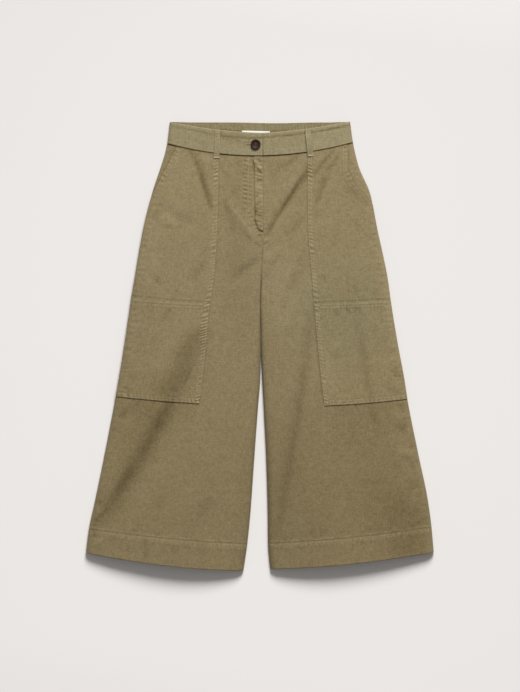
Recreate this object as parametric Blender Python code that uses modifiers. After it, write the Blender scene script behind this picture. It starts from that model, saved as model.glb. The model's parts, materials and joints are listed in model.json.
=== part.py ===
"""Wide culottes in cotton twill, laid on their back: the front faces up and the waist points to +Y.

The origin is under the middle of the garment, on the surface that it lies on. Every table is in
millimetres. Right and left are the wearer's, so the right leg lies at -X.
"""

import math

import bmesh
import bpy
import numpy as np
from mathutils import Vector
from mathutils.bvhtree import BVHTree

MM = 0.001

# Cloth and seams
CLOTH = 1.5             # one panel's wall
HEM = 2.7               # the turned-up hem, two layers
PATCH = 1.2             # patch pockets and placket
BAND = 2.4              # interfaced waistband, two layers
LOOP = 1.3              # folded belt loop
LABEL = 0.6
SEAM_GAP = 0.3          # between two pieces at a seam
SEAM_HEIGHT = 3.0       # side seams and inseams above the surface
EDGE_LIFT = 1.0         # the straight stretch on each side of a seam
BAND_PROUD = 2.0        # the band's face above the panel's
LAP_RISE = 0.9          # the two layers of the lapped seam across each patch
LOOP_WIDTH = 10.5
FRONT_LOOPS = {          # each belt loop's top and bottom
    "right": ((-77.6, 397.5), (-79.6, 347.5)),
    "left": ((88.7, 398.5), (93.9, 350.0)),
}
BACK_LOOPS = {"right": -95, "centre": 2, "left": 99}
LOOP_STEPS = (0, 0.06, 0.2, 0.4, 0.6, 0.8, 0.87, 0.94, 1)
LOOP_SPAN = np.array([-3.0, -40.0])    # the stretch of the waistband that a loop is measured on
LOOP_SEAM = 0.87        # the share of a loop's length that lies on the waistband
LOOP_SEAT = 0.6         # clearance at a loop's ends
LOOP_SLACK = 1.9        # how far it stands off for a belt
BUTTON_AT = (-7.5, 372.4)
BUTTON_HOLE_RADIUS = 0.9
BUTTON_HOLE_PITCH = 3.4
LABEL_LEFT, LABEL_RIGHT = -32.8, 18.6
LABEL_TOP, LABEL_BOTTOM = 399.9, 377.5

# A row for each section of a leg, from the waistband's top edge to the hem. down is the distance from
# the waist seam. Each section passes through the side seam, the patch pocket's inner edge and the
# centre seam or inseam.
SECTION = ("name", "down", "side_x", "side_y", "patch_x", "patch_y", "inner_x", "inner_y")
RIGHT_LEG = (
    ("band top", -43, -166.0, 414.0, -80.0, 399.8, 5.1, 393.7),
    ("waist seam", 0, -168.6, 374.3, -75.8, 355.4, 6.0, 351.5),
    ("hip", 83, -199.3, 281.2, -77.1, 271.9, 6.6, 270.1),
    ("fly end", 143, -215.6, 218.3, -78.5, 212.8, 6.0, 209.1),
    ("crotch", 236, -232.1, 125.8, -85.2, 119.3, 2.3, 116.6),
    ("lap top", 275, -237.8, 92.5, -91.5, 80.5, 1.2, 78.6),
    ("lap end", 286, -240.0, 77.7, -93.1, 69.9, 1.3, 68.0),
    ("knee", 359, -251.3, 0.0, -99.1, -3.7, 2.0, -3.7),
    ("legs part", 418, -260.8, -59.2, -105.5, -62.9, 1.0, -61.1),
    ("patch end", 463, -266.9, -93.5, -111.3, -106.6, -2.9, -110.5),
    ("shin", 570, -288.1, -203.5, -122.6, -214.6, -10.6, -216.5),
    ("calf", 655, -303.9, -281.2, -131.8, -299.7, -16.9, -305.2),
    ("hem stitch", 714, -315.9, -338.6, -139.2, -358.9, -23.0, -366.3),
    ("hem edge", 762, -321.4, -382.0, -146.6, -407.0, -30.2, -414.8),
)
LEFT_LEG = (
    ("band top", -43, 167.0, 415.0, 89.0, 401.6, 5.1, 393.7),
    ("waist seam", 0, 172.5, 376.3, 88.3, 355.4, 6.0, 351.5),
    ("hip", 83, 204.3, 281.2, 88.2, 271.9, 6.6, 270.1),
    ("fly end", 143, 216.9, 218.3, 89.1, 212.8, 6.0, 209.1),
    ("crotch", 236, 236.3, 125.8, 96.7, 119.3, 2.3, 116.6),
    ("lap top", 275, 241.7, 87.0, 100.0, 79.9, 1.2, 78.6),
    ("lap end", 286, 243.4, 75.0, 100.9, 70.4, 1.3, 68.0),
    ("knee", 359, 255.8, 0.0, 107.0, -3.7, 2.0, -3.7),
    ("legs part", 418, 266.9, -59.2, 113.3, -62.9, 4.5, -61.1),
    ("patch end", 463, 273.0, -98.1, 119.4, -110.4, 7.1, -111.0),
    ("shin", 570, 294.1, -203.5, 130.0, -214.6, 12.1, -216.5),
    ("calf", 655, 310.3, -281.2, 141.1, -297.9, 14.5, -303.4),
    ("hem stitch", 714, 317.7, -334.9, 148.5, -356.1, 15.3, -365.4),
    ("hem edge", 762, 321.8, -381.1, 153.1, -402.0, 20.8, -412.6),
)

LAP_TOP, LAP_END, PATCH_END, HEM_STITCH, HEM_EDGE = 275, 286, 463, 714, 762
PLACKET_END = 170

# How the front stands off the surface, the same on both legs: the crown of its arch, the share of
# that height left at the centre seam, how high and how wide each edge rolls over, and 1 where the
# leg is a tube of its own.
FORM = ("down", "crown", "centre", "side_rise", "side_round", "inner_rise", "inner_round", "tube")
FORMS = (
    (-43, 11.4, 0.95, 4.5, 9.0, 4.5, 5.0, 0.0),
    (0, 12.4, 0.95, 5.0, 9.0, 5.0, 5.0, 0.0),
    (83, 14.6, 0.90, 5.5, 10.0, 6.5, 5.0, 0.0),
    (143, 15.7, 0.86, 6.0, 11.0, 8.0, 5.0, 0.0),
    (215, 16.5, 0.80, 6.0, 11.0, 9.0, 5.0, 0.0),
    (238, 17.0, 0.80, 6.0, 11.0, 9.5, 5.0, 1.0),
    (286, 18.0, 0.80, 6.5, 11.0, 9.0, 7.0, 1.0),
    (418, 21.0, 0.80, 7.5, 11.5, 7.0, 11.0, 1.0),
    (570, 23.5, 0.80, 8.5, 12.0, 6.5, 12.0, 1.0),
    (762, 26.0, 0.80, 9.5, 12.0, 6.0, 12.0, 1.0),
)

# The largest folds of the front. Each runs from one point to another, bowed to its right by bend. A
# trough sinks along the line, a negative one is a ridge, and a step drops from the line's right to
# its left.
FOLD = ("name", "from_x", "from_y", "to_x", "to_y", "bend", "width", "trough", "step")
FOLDS = (
    ("right leg, to the side", -105, 42, -314, -356, -16, 26, 1.0, 5.4),
    ("left leg, to the inseam", 98, 65, 24, -366, -6, 14, 1.0, -4.0),
    ("left hip to fly", 86, 326, 8, 196, 0, 10, 1.2, 2.4),
    ("right hip to fly", -74, 284, 1, 182, 0, 10, -2.4, 0),
    ("right pocket", -122, 346, -90, 250, -2, 10, 1.0, -1.3),
    ("left pocket", 142, 346, 98, 246, 0, 10, 1.0, 1.4),
    ("left patch", 180, 80, 216, -150, 5, 13, 1.2, -1.8),
    ("right crotch", 8, 172, -66, 112, 0, 14, 1.4, 0.8),
    ("left crotch", 76, 152, 38, 66, -6, 14, 1.3, 0.8),
    ("right hip", -196, 262, -108, 212, 6, 14, 1.3, 0.9),
    ("left side, upper", 262, -148, 294, -196, 0, 10, 1.3, -1.2),
    ("left side, lower", 268, -198, 304, -262, 0, 12, 1.4, -1.5),
    ("right shin", -88, -280, -122, -352, 0, 16, 1.4, 0.6),
    ("left hem", 262, -300, 238, -352, 0, 14, 1.2, 0.6),
)

# Pocket mouths, from the waist seam to the side seam, and how far each stands open
RIGHT_MOUTH = ((-152.0, 371.0), (-175.0, 325.0), (-202.0, 272.0))
LEFT_MOUTH = ((162.5, 374.0), (162.5, 326.0), (176.0, 298.0), (207.0, 262.0))
FLY_END = ((-12.5, 228.0), (-8.5, 217.0), (-1.0, 210.0), (6.5, 208.0))

# Columns of a front panel: distances from the side seam, shares of the pocket and of the middle, and
# distances from the centre seam. The placket takes the last 17.6 mm.
SIDE_STEPS = (0, 0, 0.6, 2.5, 6, 11)
POCKET_PARTS = 8
MIDDLE_PARTS = 5
INNER_STEPS = (11, 6, 2.5, 0.6, 0, 0)
PLACKET_WIDTH = 17.6
PATCH_COLUMN = len(SIDE_STEPS) - 1 + POCKET_PARTS
PLACKET_COLUMN = PATCH_COLUMN + MIDDLE_PARTS
ROW_SPACING = 26.0
BACK_ROW_SPACING = 60.0

# Back: panels, their gathers and the elasticated band
BACK_STEPS = (0, 0, 0.5, 2, 4.5)
BACK_PARTS = 20
BACK_ROUND = 4.5
BACK_SEAM_Y = 372.8
BACK_TOP_Y = 415.3
BACK_GATHER = 1.6       # height of the panel's gathers at the band
BACK_GATHER_LENGTH = 110.0
BAND_GATHERS = 43
BAND_GATHER_SPAN = 258.0
BAND_GATHER = 1.2       # height of the band's gathers
BAND_FLOOR = 1.6        # the band clears the belt loops under it
LAPPED_END = 5.1        # where the right waistband ends
UNDERLAP_STEPS = (6.0, 2.2, -4.0, -14.0, -33.0)    # columns of the left waistband past the lap
UNDERLAP_DROP = 3.0
LAPPED_RISE = 0.9

TWILL = (0.231, 0.180, 0.097)
BUTTON_COLOUR = (0.018, 0.012, 0.012)
WHITE = (0.80, 0.79, 0.76)


def table(names, rows):
    """The columns of a table, by name."""
    return dict(zip(names, zip(*rows)))


LEGS = {
    "right": {"sign": 1, "guide": table(SECTION, RIGHT_LEG), "mouth": RIGHT_MOUTH, "gape": 0.8},
    "left": {"sign": -1, "guide": table(SECTION, LEFT_LEG), "mouth": LEFT_MOUTH, "gape": 3.0},
}
SHAPE = table(FORM, FORMS)


def smooth(stations, values, at):
    """A smooth curve through a table's column, with no overshoot between its rows."""
    stations = np.array(stations, float)
    values = np.array(values, float)
    length = np.diff(stations)
    slope = np.diff(values) / length
    tangent = np.zeros(len(values))
    before, after = slope[:-1], slope[1:]
    rising = before * after > 0
    tangent[1:-1][rising] = 2 * before[rising] * after[rising] / (before + after)[rising]
    tangent[0], tangent[-1] = slope[0], slope[-1]
    index = np.clip(np.searchsorted(stations, at, side="right") - 1, 0, len(length) - 1)
    t = (at - stations[index]) / length[index]
    start, end = values[index], values[index + 1]
    curve = start + (end - start) * t * t * (3 - 2 * t)
    lean = tangent[index] * (1 - t) - tangent[index + 1] * t
    return curve + length[index] * t * (1 - t) * lean


def mix(a, b, share):
    return a + (b - a) * share


def ease(t):
    t = np.clip(t, 0, 1)
    return t * t * (3 - 2 * t)


def roll(distance, width):
    """A quarter ellipse, from 0 at an edge to 1 at width from it."""
    inside = 1 - np.clip(distance / width, 0, 1)
    return np.sqrt(1 - inside * inside)


def folds(x, y):
    """How far the folds raise or sink the front at each point."""
    height = np.zeros_like(x)
    for _, from_x, from_y, to_x, to_y, bend, width, trough, step in FOLDS:
        length = math.hypot(to_x - from_x, to_y - from_y)
        along_x, along_y = (to_x - from_x) / length, (to_y - from_y) / length
        along = ((x - from_x) * along_x + (y - from_y) * along_y) / length
        bow = bend * 4 * along * (1 - along)
        across = ((x - from_x) * along_y - (y - from_y) * along_x - bow) / width
        fade = np.sin(np.pi * np.clip(along, 0, 1)) ** 0.7
        hump = np.exp(-across * across)
        height += fade * (1.6 * step * across - trough) * hump
    return height


def guide(leg, down):
    """The leg's guide lines and form at each row, as columns of numbers."""
    lines = LEGS[leg]["guide"]
    values = {
        name: smooth(lines["down"], lines[name], down)[:, None] for name in SECTION[2:]
    }
    for name in FORM[1:]:
        values[name] = smooth(SHAPE["down"], SHAPE[name], down)[:, None]
    values["inner_x"] = values["inner_x"] - LEGS[leg]["sign"] * SEAM_GAP / 2
    return values


def row_y(lines, x):
    """The row's curve through its three guide points."""
    x0, x1, x2 = lines["side_x"], lines["patch_x"], lines["inner_x"]
    first = (lines["patch_y"] - lines["side_y"]) / (x1 - x0)
    second = ((lines["inner_y"] - lines["patch_y"]) / (x2 - x1) - first) / (x2 - x0)
    return lines["side_y"] + first * (x - x0) + second * (x - x0) * (x - x1)


def front_height(lines, x, y):
    """The height of the front's outer face."""
    from_side = np.abs(x - lines["side_x"])
    from_inner = np.abs(x - lines["inner_x"])
    share = from_side / (from_side + from_inner)
    tube = lines["tube"]
    rolled = np.minimum(
        roll(from_side, lines["side_round"]),
        mix(1, roll(from_inner, lines["inner_round"]), tube),
    )
    rise = mix(lines["side_rise"], lines["inner_rise"], share)
    joined = np.where(
        share < 0.5,
        np.sin(np.pi * np.minimum(share, 0.5)),
        mix(1, lines["centre"], ease(2 * share - 1)),
    )
    arched = np.sin(np.pi * share**1.2) ** 0.7
    base = SEAM_HEIGHT + EDGE_LIFT
    height = base + rise * rolled + (lines["crown"] - base - rise) * mix(joined, arched, tube)
    calm = ease(from_side / 25) * mix(1, ease(from_inner / 25), tube)
    return height + folds(x, y) * calm


def front_points(leg, down):
    """The grid of a front panel's outer face, a row for each distance down."""
    lines = guide(leg, down)
    sign = LEGS[leg]["sign"]
    side = lines["side_x"] + sign * np.array(SIDE_STEPS)
    pocket = mix(side[:, -1:], lines["patch_x"], np.arange(1, POCKET_PARTS + 1) / POCKET_PARTS)
    placket = lines["inner_x"] - sign * PLACKET_WIDTH
    middle = mix(lines["patch_x"], placket, np.arange(1, MIDDLE_PARTS + 1) / MIDDLE_PARTS)
    inner = lines["inner_x"] - sign * np.array(INNER_STEPS)
    inner[:, -2:-1] -= sign * SEAM_GAP * (1 - lines["tube"])
    x = np.hstack((side, pocket, middle, inner))
    y = row_y(lines, x)
    z = front_height(lines, x, y)
    seam = SEAM_HEIGHT + SEAM_GAP / 2
    z[:, 0] = seam
    z[:, -1:] = mix(z[:, -1:], seam, lines["tube"])
    return np.dstack((x, y, z))


def back_points(leg, down):
    """The grid of a back panel's outer face, which lies on the surface and turns up at its edges."""
    lines = guide(leg, down)
    sign = LEGS[leg]["sign"]
    side = lines["side_x"] + sign * np.array(BACK_STEPS)
    inner = lines["inner_x"] - sign * np.array(BACK_STEPS)[::-1]
    inner[:, -2:-1] -= sign * SEAM_GAP * (1 - lines["tube"])
    middle = mix(side[:, -1:], inner[:, :1], np.arange(1, BACK_PARTS) / BACK_PARTS)
    x = np.hstack((side, middle, inner))
    straighten = BACK_SEAM_Y - row_y(guide(leg, np.zeros(1)), x[:1])
    y = row_y(lines, x) + straighten * np.clip(1 - down[:, None] / 170, 0, 1) ** 1.5
    from_side = np.abs(x - lines["side_x"])
    from_inner = np.abs(x - lines["inner_x"])
    turned = np.maximum(
        1 - roll(from_side, BACK_ROUND), (1 - roll(from_inner, BACK_ROUND)) * lines["tube"]
    )
    z = (SEAM_HEIGHT - EDGE_LIFT) * turned
    gathered = np.exp(-np.clip(down, 0, None) / BACK_GATHER_LENGTH * 2)[:, None] * BACK_GATHER
    first = len(BACK_STEPS)
    z[:, first : first + BACK_PARTS - 1 : 2] += gathered
    seam = SEAM_HEIGHT - SEAM_GAP / 2
    z[:, 0] = seam
    z[:, -1:] = seam * lines["tube"]
    return np.dstack((x, y, z))


def stations(first, last, spacing=ROW_SPACING):
    """Rows from one section to another: each of the leg's sections, and even steps between them."""
    marks = [first] + [d for d in LEGS["right"]["guide"]["down"] if first < d < last] + [last]
    down = [first]
    for start, end in zip(marks, marks[1:]):
        parts = max(1, round((end - start) / spacing))
        down += [mix(start, end, part / parts) for part in range(1, parts + 1)]
    return np.array(down, float)


def normals(points):
    """Unit normals of a grid, turned up."""
    across = np.gradient(points, axis=1)
    along = np.gradient(points, axis=0)
    normal = np.cross(across, along)
    normal /= np.linalg.norm(normal, axis=2, keepdims=True)
    middle = normal[normal.shape[0] // 2, normal.shape[1] // 2, 2]
    return normal * np.sign(middle)


def lifted(points, distance):
    return points + normals(points) * distance


def new_material(name, colour, roughness):
    material = bpy.data.materials.new(name)
    material.use_nodes = True
    shader = material.node_tree.nodes["Principled BSDF"]
    shader.inputs["Base Color"].default_value = (*colour, 1)
    shader.inputs["Roughness"].default_value = roughness
    shader.inputs["Metallic"].default_value = 0
    return material


def new_object(name, mesh, colour=TWILL, roughness=0.9):
    mesh.materials.append(new_material(name, colour, roughness))
    obj = bpy.data.objects.new(name, mesh)
    parts.objects.link(obj)
    return obj


def trim(bm, edge, keep):
    """Cuts a sheet along a line of points and drops the faces that keep refuses."""
    for (x0, y0), (x1, y1) in zip(edge, edge[1:]):
        bmesh.ops.bisect_plane(
            bm,
            geom=bm.verts[:] + bm.edges[:] + bm.faces[:],
            dist=1e-6,
            plane_co=(x0 * MM, y0 * MM, 0),
            plane_no=(y1 - y0, x0 - x1, 0),
        )
    waste = [f for f in bm.faces if not keep(*(f.calc_center_median().xy / MM))]
    bmesh.ops.delete(bm, geom=waste, context="FACES")


def sheet_mesh(name, points, up, edge=None, keep=None):
    """An open grid through the points, its faces turned up or down, and trimmed."""
    rows, columns = points.shape[:2]
    bm = bmesh.new()
    bmesh.ops.create_grid(bm, x_segments=columns - 1, y_segments=rows - 1, size=0.5)
    for vert in bm.verts:
        column = round((vert.co.x + 0.5) * (columns - 1))
        row = round((vert.co.y + 0.5) * (rows - 1))
        vert.co = points[row, column] * MM
    bm.normal_update()
    if (sum(f.normal.z for f in bm.faces) > 0) != up:
        bmesh.ops.reverse_faces(bm, faces=bm.faces)
    if edge:
        trim(bm, edge, keep)
    for line in bm.edges:
        line.smooth = not line.is_boundary
    for face in bm.faces:
        face.smooth = True
    mesh = bpy.data.meshes.new(name)
    bm.to_mesh(mesh)
    bm.free()
    return mesh


def cloth(name, points, wall, up=True, thick=None, thick_wall=None, colour=TWILL, **cut):
    """A cloth piece: its outer face as a sheet, made solid inwards. thick picks the thicker points."""
    mesh = sheet_mesh(name, points, up, **cut)
    obj = new_object(name, mesh, colour)
    solid = obj.modifiers.new("Wall", "SOLIDIFY")
    solid.thickness = (thick_wall or wall) * MM
    solid.offset = -1
    solid.use_even_offset = True
    if thick:
        group = obj.vertex_groups.new(name="thick")
        for vert in mesh.vertices:
            group.add([vert.index], thick(*(vert.co / MM)), "REPLACE")
        solid.vertex_group = group.name
        solid.thickness_vertex_group = wall / thick_wall
    return obj


def height_at(points, x, y):
    """The height of a sheet's faces straight below a point."""
    rows, columns = points.shape[:2]
    corners = [Vector(p) for p in points.reshape(-1, 3)]
    faces = [
        (r * columns + c, r * columns + c + 1, (r + 1) * columns + c + 1, (r + 1) * columns + c)
        for r in range(rows - 1)
        for c in range(columns - 1)
    ]
    hit = BVHTree.FromPolygons(corners, faces).ray_cast(Vector((x, y, 100)), Vector((0, 0, -1)))
    return hit[0].z


def make_front(leg, down):
    points = front_points(leg, down)
    stitched = guide(leg, np.array([HEM_STITCH + 0.0]))

    def in_hem(x, y, z):
        return float(y < row_y(stitched, np.array([[x]]))[0, 0] + 1)

    cloth("front_" + leg, points, CLOTH, thick=in_hem, thick_wall=HEM)
    return points


def make_back(leg):
    down = stations(SEAM_GAP / 2, HEM_EDGE, BACK_ROW_SPACING)
    cloth("back_" + leg, back_points(leg, down), CLOTH, up=False)


def make_pocket(leg, points, down):
    """The upper patch: the panel's own points moved out, cut at the mouth, which stands open."""
    rows = down <= LAP_TOP
    mouth_x, mouth_y = np.array(LEGS[leg]["mouth"]).T
    reach = np.abs(mouth_x)
    base = points[rows, 1 : PATCH_COLUMN + 1]
    edge_x = np.interp(base[..., 1], mouth_y[::-1], reach[::-1])
    near = ease(1 - np.abs(np.abs(base[..., 0]) - edge_x) / 28) * (base[..., 1] > mouth_y[-1])
    open_at = np.sin(np.pi * np.clip((base[..., 1] - mouth_y[-1]) / np.ptp(mouth_y), 0, 1))
    lift = SEAM_GAP + PATCH + LEGS[leg]["gape"] * near * open_at

    def keep(x, y):
        return y < mouth_y[-1] or abs(x) < np.interp(y, mouth_y[::-1], reach[::-1])

    cloth(
        "pocket_" + leg,
        lifted(base, lift[..., None]),
        PATCH,
        edge=LEGS[leg]["mouth"],
        keep=keep,
    )


def make_patch(leg, points, down):
    """The lower patch, its top lapped over the upper one's end."""
    rows = (down >= LAP_TOP) & (down <= PATCH_END)
    base = points[rows, 1 : PATCH_COLUMN + 1].copy()
    base[0, :, 1] -= SEAM_GAP
    lapped = (down[rows] <= LAP_END)[:, None, None]
    cloth("patch_" + leg, lifted(base, SEAM_GAP + PATCH + LAP_RISE * lapped), PATCH)


def make_placket(points, down):
    def keep(x, y):
        edge_x, edge_y = np.array(FLY_END).T
        return y > np.interp(x, edge_x, edge_y) or y > edge_y[0]

    rows = down <= PLACKET_END
    base = points[rows, PLACKET_COLUMN:-1]
    cloth("fly_placket", lifted(base, SEAM_GAP + PATCH), PATCH, edge=FLY_END, keep=keep)


def band_rise(down):
    """The front waistband's face above the leg's surface, with a soft crease under its top edge."""
    return BAND_PROUD - 0.7 * np.exp(-(((down + 32) / 4) ** 2))


def make_front_band(leg):
    down = np.array([-43, -38, -32, -27, -18, -9, -SEAM_GAP / 2])
    points = front_points(leg, down)
    points[:, 1:, 2] += band_rise(down)[:, None]
    if leg == "right":
        near = ease(1 - (LAPPED_END - points[..., 0]) / 30)
        points[..., 2] += LAPPED_RISE * near
    else:
        under = np.repeat(points[:, -1:], len(UNDERLAP_STEPS), axis=1)
        under[..., 0] += UNDERLAP_STEPS
        under[:, 1:, 2] -= UNDERLAP_DROP
        points = np.concatenate((points[:, : PLACKET_COLUMN + 1], under), axis=1)
    cloth("waistband_front_" + leg, points, BAND)
    return points


def make_back_band():
    """The elasticated band: plain outside, gathered inside."""
    ends = np.array(BACK_STEPS, float)
    per_gather = 4
    half = BAND_GATHER_SPAN / 2
    middle = np.linspace(-half, half, BAND_GATHERS * per_gather + 1)
    down = np.array([-43.0, -38.0, -5.0, -SEAM_GAP / 2])
    left = guide("left", down)["side_x"]
    right = guide("right", down)["side_x"]
    plain = np.array([12.0, 24.0])
    gathered = np.tile(middle, (len(down), 1))
    x = np.hstack(
        (right + ends, right + plain, gathered, left - plain[::-1], left - ends[::-1])
    )
    y = mix(BACK_TOP_Y, BACK_SEAM_Y + SEAM_GAP / 2, (down[:, None] + 43) / (43 - SEAM_GAP / 2))
    y = np.repeat(y, x.shape[1], axis=1)
    from_end = np.minimum(x - right, left - x)
    z = (SEAM_HEIGHT - EDGE_LIFT) * (1 - roll(from_end, BACK_ROUND))
    z += BAND_FLOOR * ease((from_end - 8) / 15)
    z[:, 0] = z[:, -1] = SEAM_HEIGHT - SEAM_GAP / 2

    def crest(px, py, pz):
        turn = 2 * math.pi * BAND_GATHERS * (px + half) / BAND_GATHER_SPAN
        return float(ease((half - abs(px)) / 14)) * (0.5 - 0.5 * math.cos(turn))

    cloth(
        "waistband_back",
        np.dstack((x, y, z)),
        BAND - BAND_GATHER / 2,
        up=False,
        thick=crest,
        thick_wall=BAND + BAND_GATHER / 2,
    )


def make_front_loop(leg, band, top, bottom):
    """A belt loop over the waistband, from its top edge to a tack on the pocket below."""
    reach = np.linspace(-LOOP_WIDTH / 2, LOOP_WIDTH / 2, 3)
    points = []
    for share in LOOP_STEPS:
        x, y = mix(np.array(top), np.array(bottom), share)
        low, high = row_y(guide(leg, LOOP_SPAN), np.array([[x], [x]]))[:, 0]
        under = max(height_at(band, x + dx, min(max(y, low), high)) for dx in reach)
        if y < low:
            under -= BAND_PROUD - SEAM_GAP - PATCH
        slack = LOOP_SLACK * math.sin(math.pi * min(share / LOOP_SEAM, 1))
        points.append([(x + dx, y, under + LOOP_SEAT + LOOP + slack) for dx in reach])
    cloth("belt_loop_front_" + leg, np.array(points), LOOP)


def make_back_loop(name, x):
    """A plain belt loop on the outside of the back band, flat on the surface."""
    reach = np.linspace(-LOOP_WIDTH / 2, LOOP_WIDTH / 2, 3)
    rows = np.linspace(BACK_TOP_Y - 1, BACK_SEAM_Y + 1, 4)
    points = np.array([[(x + dx, y, 0) for dx in reach] for y in rows])
    cloth(name, points, LOOP, up=False)


def make_label():
    """A bare woven label on the inside of the back band."""
    x = np.linspace(LABEL_LEFT, LABEL_RIGHT, 6)
    y = np.linspace(LABEL_TOP, LABEL_BOTTOM, 4)
    floor = BAND_FLOOR + BAND + BAND_GATHER / 2
    points = np.array([[(px, py, floor + SEAM_GAP + LABEL) for px in x] for py in y])
    cloth("label", points, LABEL, colour=WHITE)


def make_button(band):
    """A turned four-hole button with a raised rim, on the lapped end of the waistband."""
    profile = (
        (0, 1.9), (4.2, 1.9), (6.2, 2.3), (7.2, 3.1), (8.2, 3.3),
        (9.0, 2.8), (9.2, 1.9), (8.6, 0.9), (6.5, 0.2), (0, 0),
    )
    mesh = bpy.data.meshes.new("button")
    edges = [(i, i + 1) for i in range(len(profile) - 1)]
    mesh.from_pydata([(r * MM, 0, h * MM) for r, h in profile], edges, [])
    button = new_object("button", mesh, BUTTON_COLOUR, 0.35)
    x, y = BUTTON_AT
    seat = max(height_at(band, x + dx, y + dy) for dx in (-9, 0, 9) for dy in (-9, 0, 9))
    button.location = (x * MM, y * MM, (seat + SEAM_GAP) * MM)
    turn = button.modifiers.new("Turn", "SCREW")
    turn.steps = turn.render_steps = 28
    turn.use_merge_vertices = True
    turn.merge_threshold = 0.00001
    for across in (-0.5, 0.5):
        for up in (-0.5, 0.5):
            drill_hole(button, across * BUTTON_HOLE_PITCH, up * BUTTON_HOLE_PITCH)


def drill_hole(button, x, y):
    radius = BUTTON_HOLE_RADIUS * MM
    bm = bmesh.new()
    bmesh.ops.create_cone(
        bm, cap_ends=True, segments=10, radius1=radius, radius2=radius, depth=12 * MM
    )
    mesh = bpy.data.meshes.new("button_hole")
    bm.to_mesh(mesh)
    bm.free()
    hole = bpy.data.objects.new("button_hole", mesh)
    cutters.objects.link(hole)
    hole.location = button.location + Vector((x, y, 0)) * MM
    hole.hide_render = True
    hole.display_type = "WIRE"
    cut = button.modifiers.new("Hole", "BOOLEAN")
    cut.operation = "DIFFERENCE"
    cut.object = hole


def make_culottes():
    down = stations(SEAM_GAP / 2, HEM_EDGE)
    for leg in LEGS:
        points = make_front(leg, down)
        make_back(leg)
        make_pocket(leg, points, down)
        make_patch(leg, points, down)
        band = make_front_band(leg)
        make_front_loop(leg, band, *FRONT_LOOPS[leg])
        if leg == "right":
            make_placket(points, down)
            make_button(band)
    make_back_band()
    for place, x in BACK_LOOPS.items():
        make_back_loop("belt_loop_back_" + place, x)
    make_label()


for old in list(bpy.data.objects):
    bpy.data.objects.remove(old, do_unlink=True)
parts = bpy.data.collections.new("Culottes")
cutters = bpy.data.collections.new("Cutters")
bpy.context.scene.collection.children.link(parts)
bpy.context.scene.collection.children.link(cutters)
make_culottes()
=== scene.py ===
"""Looks of the culottes: cloth, seams, stitches, button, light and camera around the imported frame.

Lengths are in millimetres in the tables and the surface functions, and in metres once they become
meshes. Right and left are the wearer's, so the right leg lies at -X. A face is a function of down, the
distance from the waist seam towards the hem, and of x, that gives the points of a piece's outer face.
"""

import json
import math

import bmesh
import bpy
import numpy as np
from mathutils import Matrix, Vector

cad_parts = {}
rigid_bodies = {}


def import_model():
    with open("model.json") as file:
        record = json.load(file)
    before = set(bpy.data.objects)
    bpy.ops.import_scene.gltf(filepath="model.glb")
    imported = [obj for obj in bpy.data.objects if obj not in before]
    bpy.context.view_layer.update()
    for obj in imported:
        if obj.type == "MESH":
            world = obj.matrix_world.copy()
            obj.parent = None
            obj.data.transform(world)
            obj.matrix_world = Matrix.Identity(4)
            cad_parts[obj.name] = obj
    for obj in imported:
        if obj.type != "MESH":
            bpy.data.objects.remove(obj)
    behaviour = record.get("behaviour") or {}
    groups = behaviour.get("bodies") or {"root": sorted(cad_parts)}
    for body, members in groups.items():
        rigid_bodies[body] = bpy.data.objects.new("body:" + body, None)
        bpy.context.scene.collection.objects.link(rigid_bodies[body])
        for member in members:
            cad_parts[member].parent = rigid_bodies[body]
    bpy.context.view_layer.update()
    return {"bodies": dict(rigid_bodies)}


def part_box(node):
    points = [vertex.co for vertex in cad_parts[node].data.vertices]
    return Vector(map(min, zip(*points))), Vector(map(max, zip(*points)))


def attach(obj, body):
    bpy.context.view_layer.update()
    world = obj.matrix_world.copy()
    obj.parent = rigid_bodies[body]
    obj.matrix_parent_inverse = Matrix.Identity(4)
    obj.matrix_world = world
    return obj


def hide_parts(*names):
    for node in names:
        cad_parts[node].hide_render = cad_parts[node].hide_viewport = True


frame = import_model()

MM = 0.001

# Cloth and seams
CLOTH = 0.8
HEM = 2.0               # the turned-up hem, in two layers
PATCH = 1.2
PATCH_CLOTH = 0.7
BAND = 1.6
LOOP = 1.3
SEAM_GAP = 0.3          # under a piece that lies on another
SEAM_CLEAR = 0.05       # between pieces that meet at a seam
SIDE_INSET = 1.2        # from the side seam to a pocket's or a patch's outer edge
SEAM_HEIGHT = 3.0
EDGE_LIFT = 1.0
BACK_BAND = 1.5
BAND_PROUD = 2.0
LAP_RISE = 0.15
LOOP_WIDTH = 10.5
STITCH = 2.5            # a stitch's length
STITCH_PITCH = 3.3
THREAD = 0.5            # a stitch's width
ROW_NEAR, ROW_FAR = 1.6, 7.8    # the twin rows of topstitching, from the edge
LAP_ROWS = (4.4, 10.0)  # the lapped seam's rows of topstitching, from the patch's top
END_ROWS = (4.0, 9.0)   # the rows above the patch's lower edge
TACK_WIDTH = 9.6
GLINT_ABOVE = 3.7       # from the hem's stitches up to its painted highlights
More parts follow.
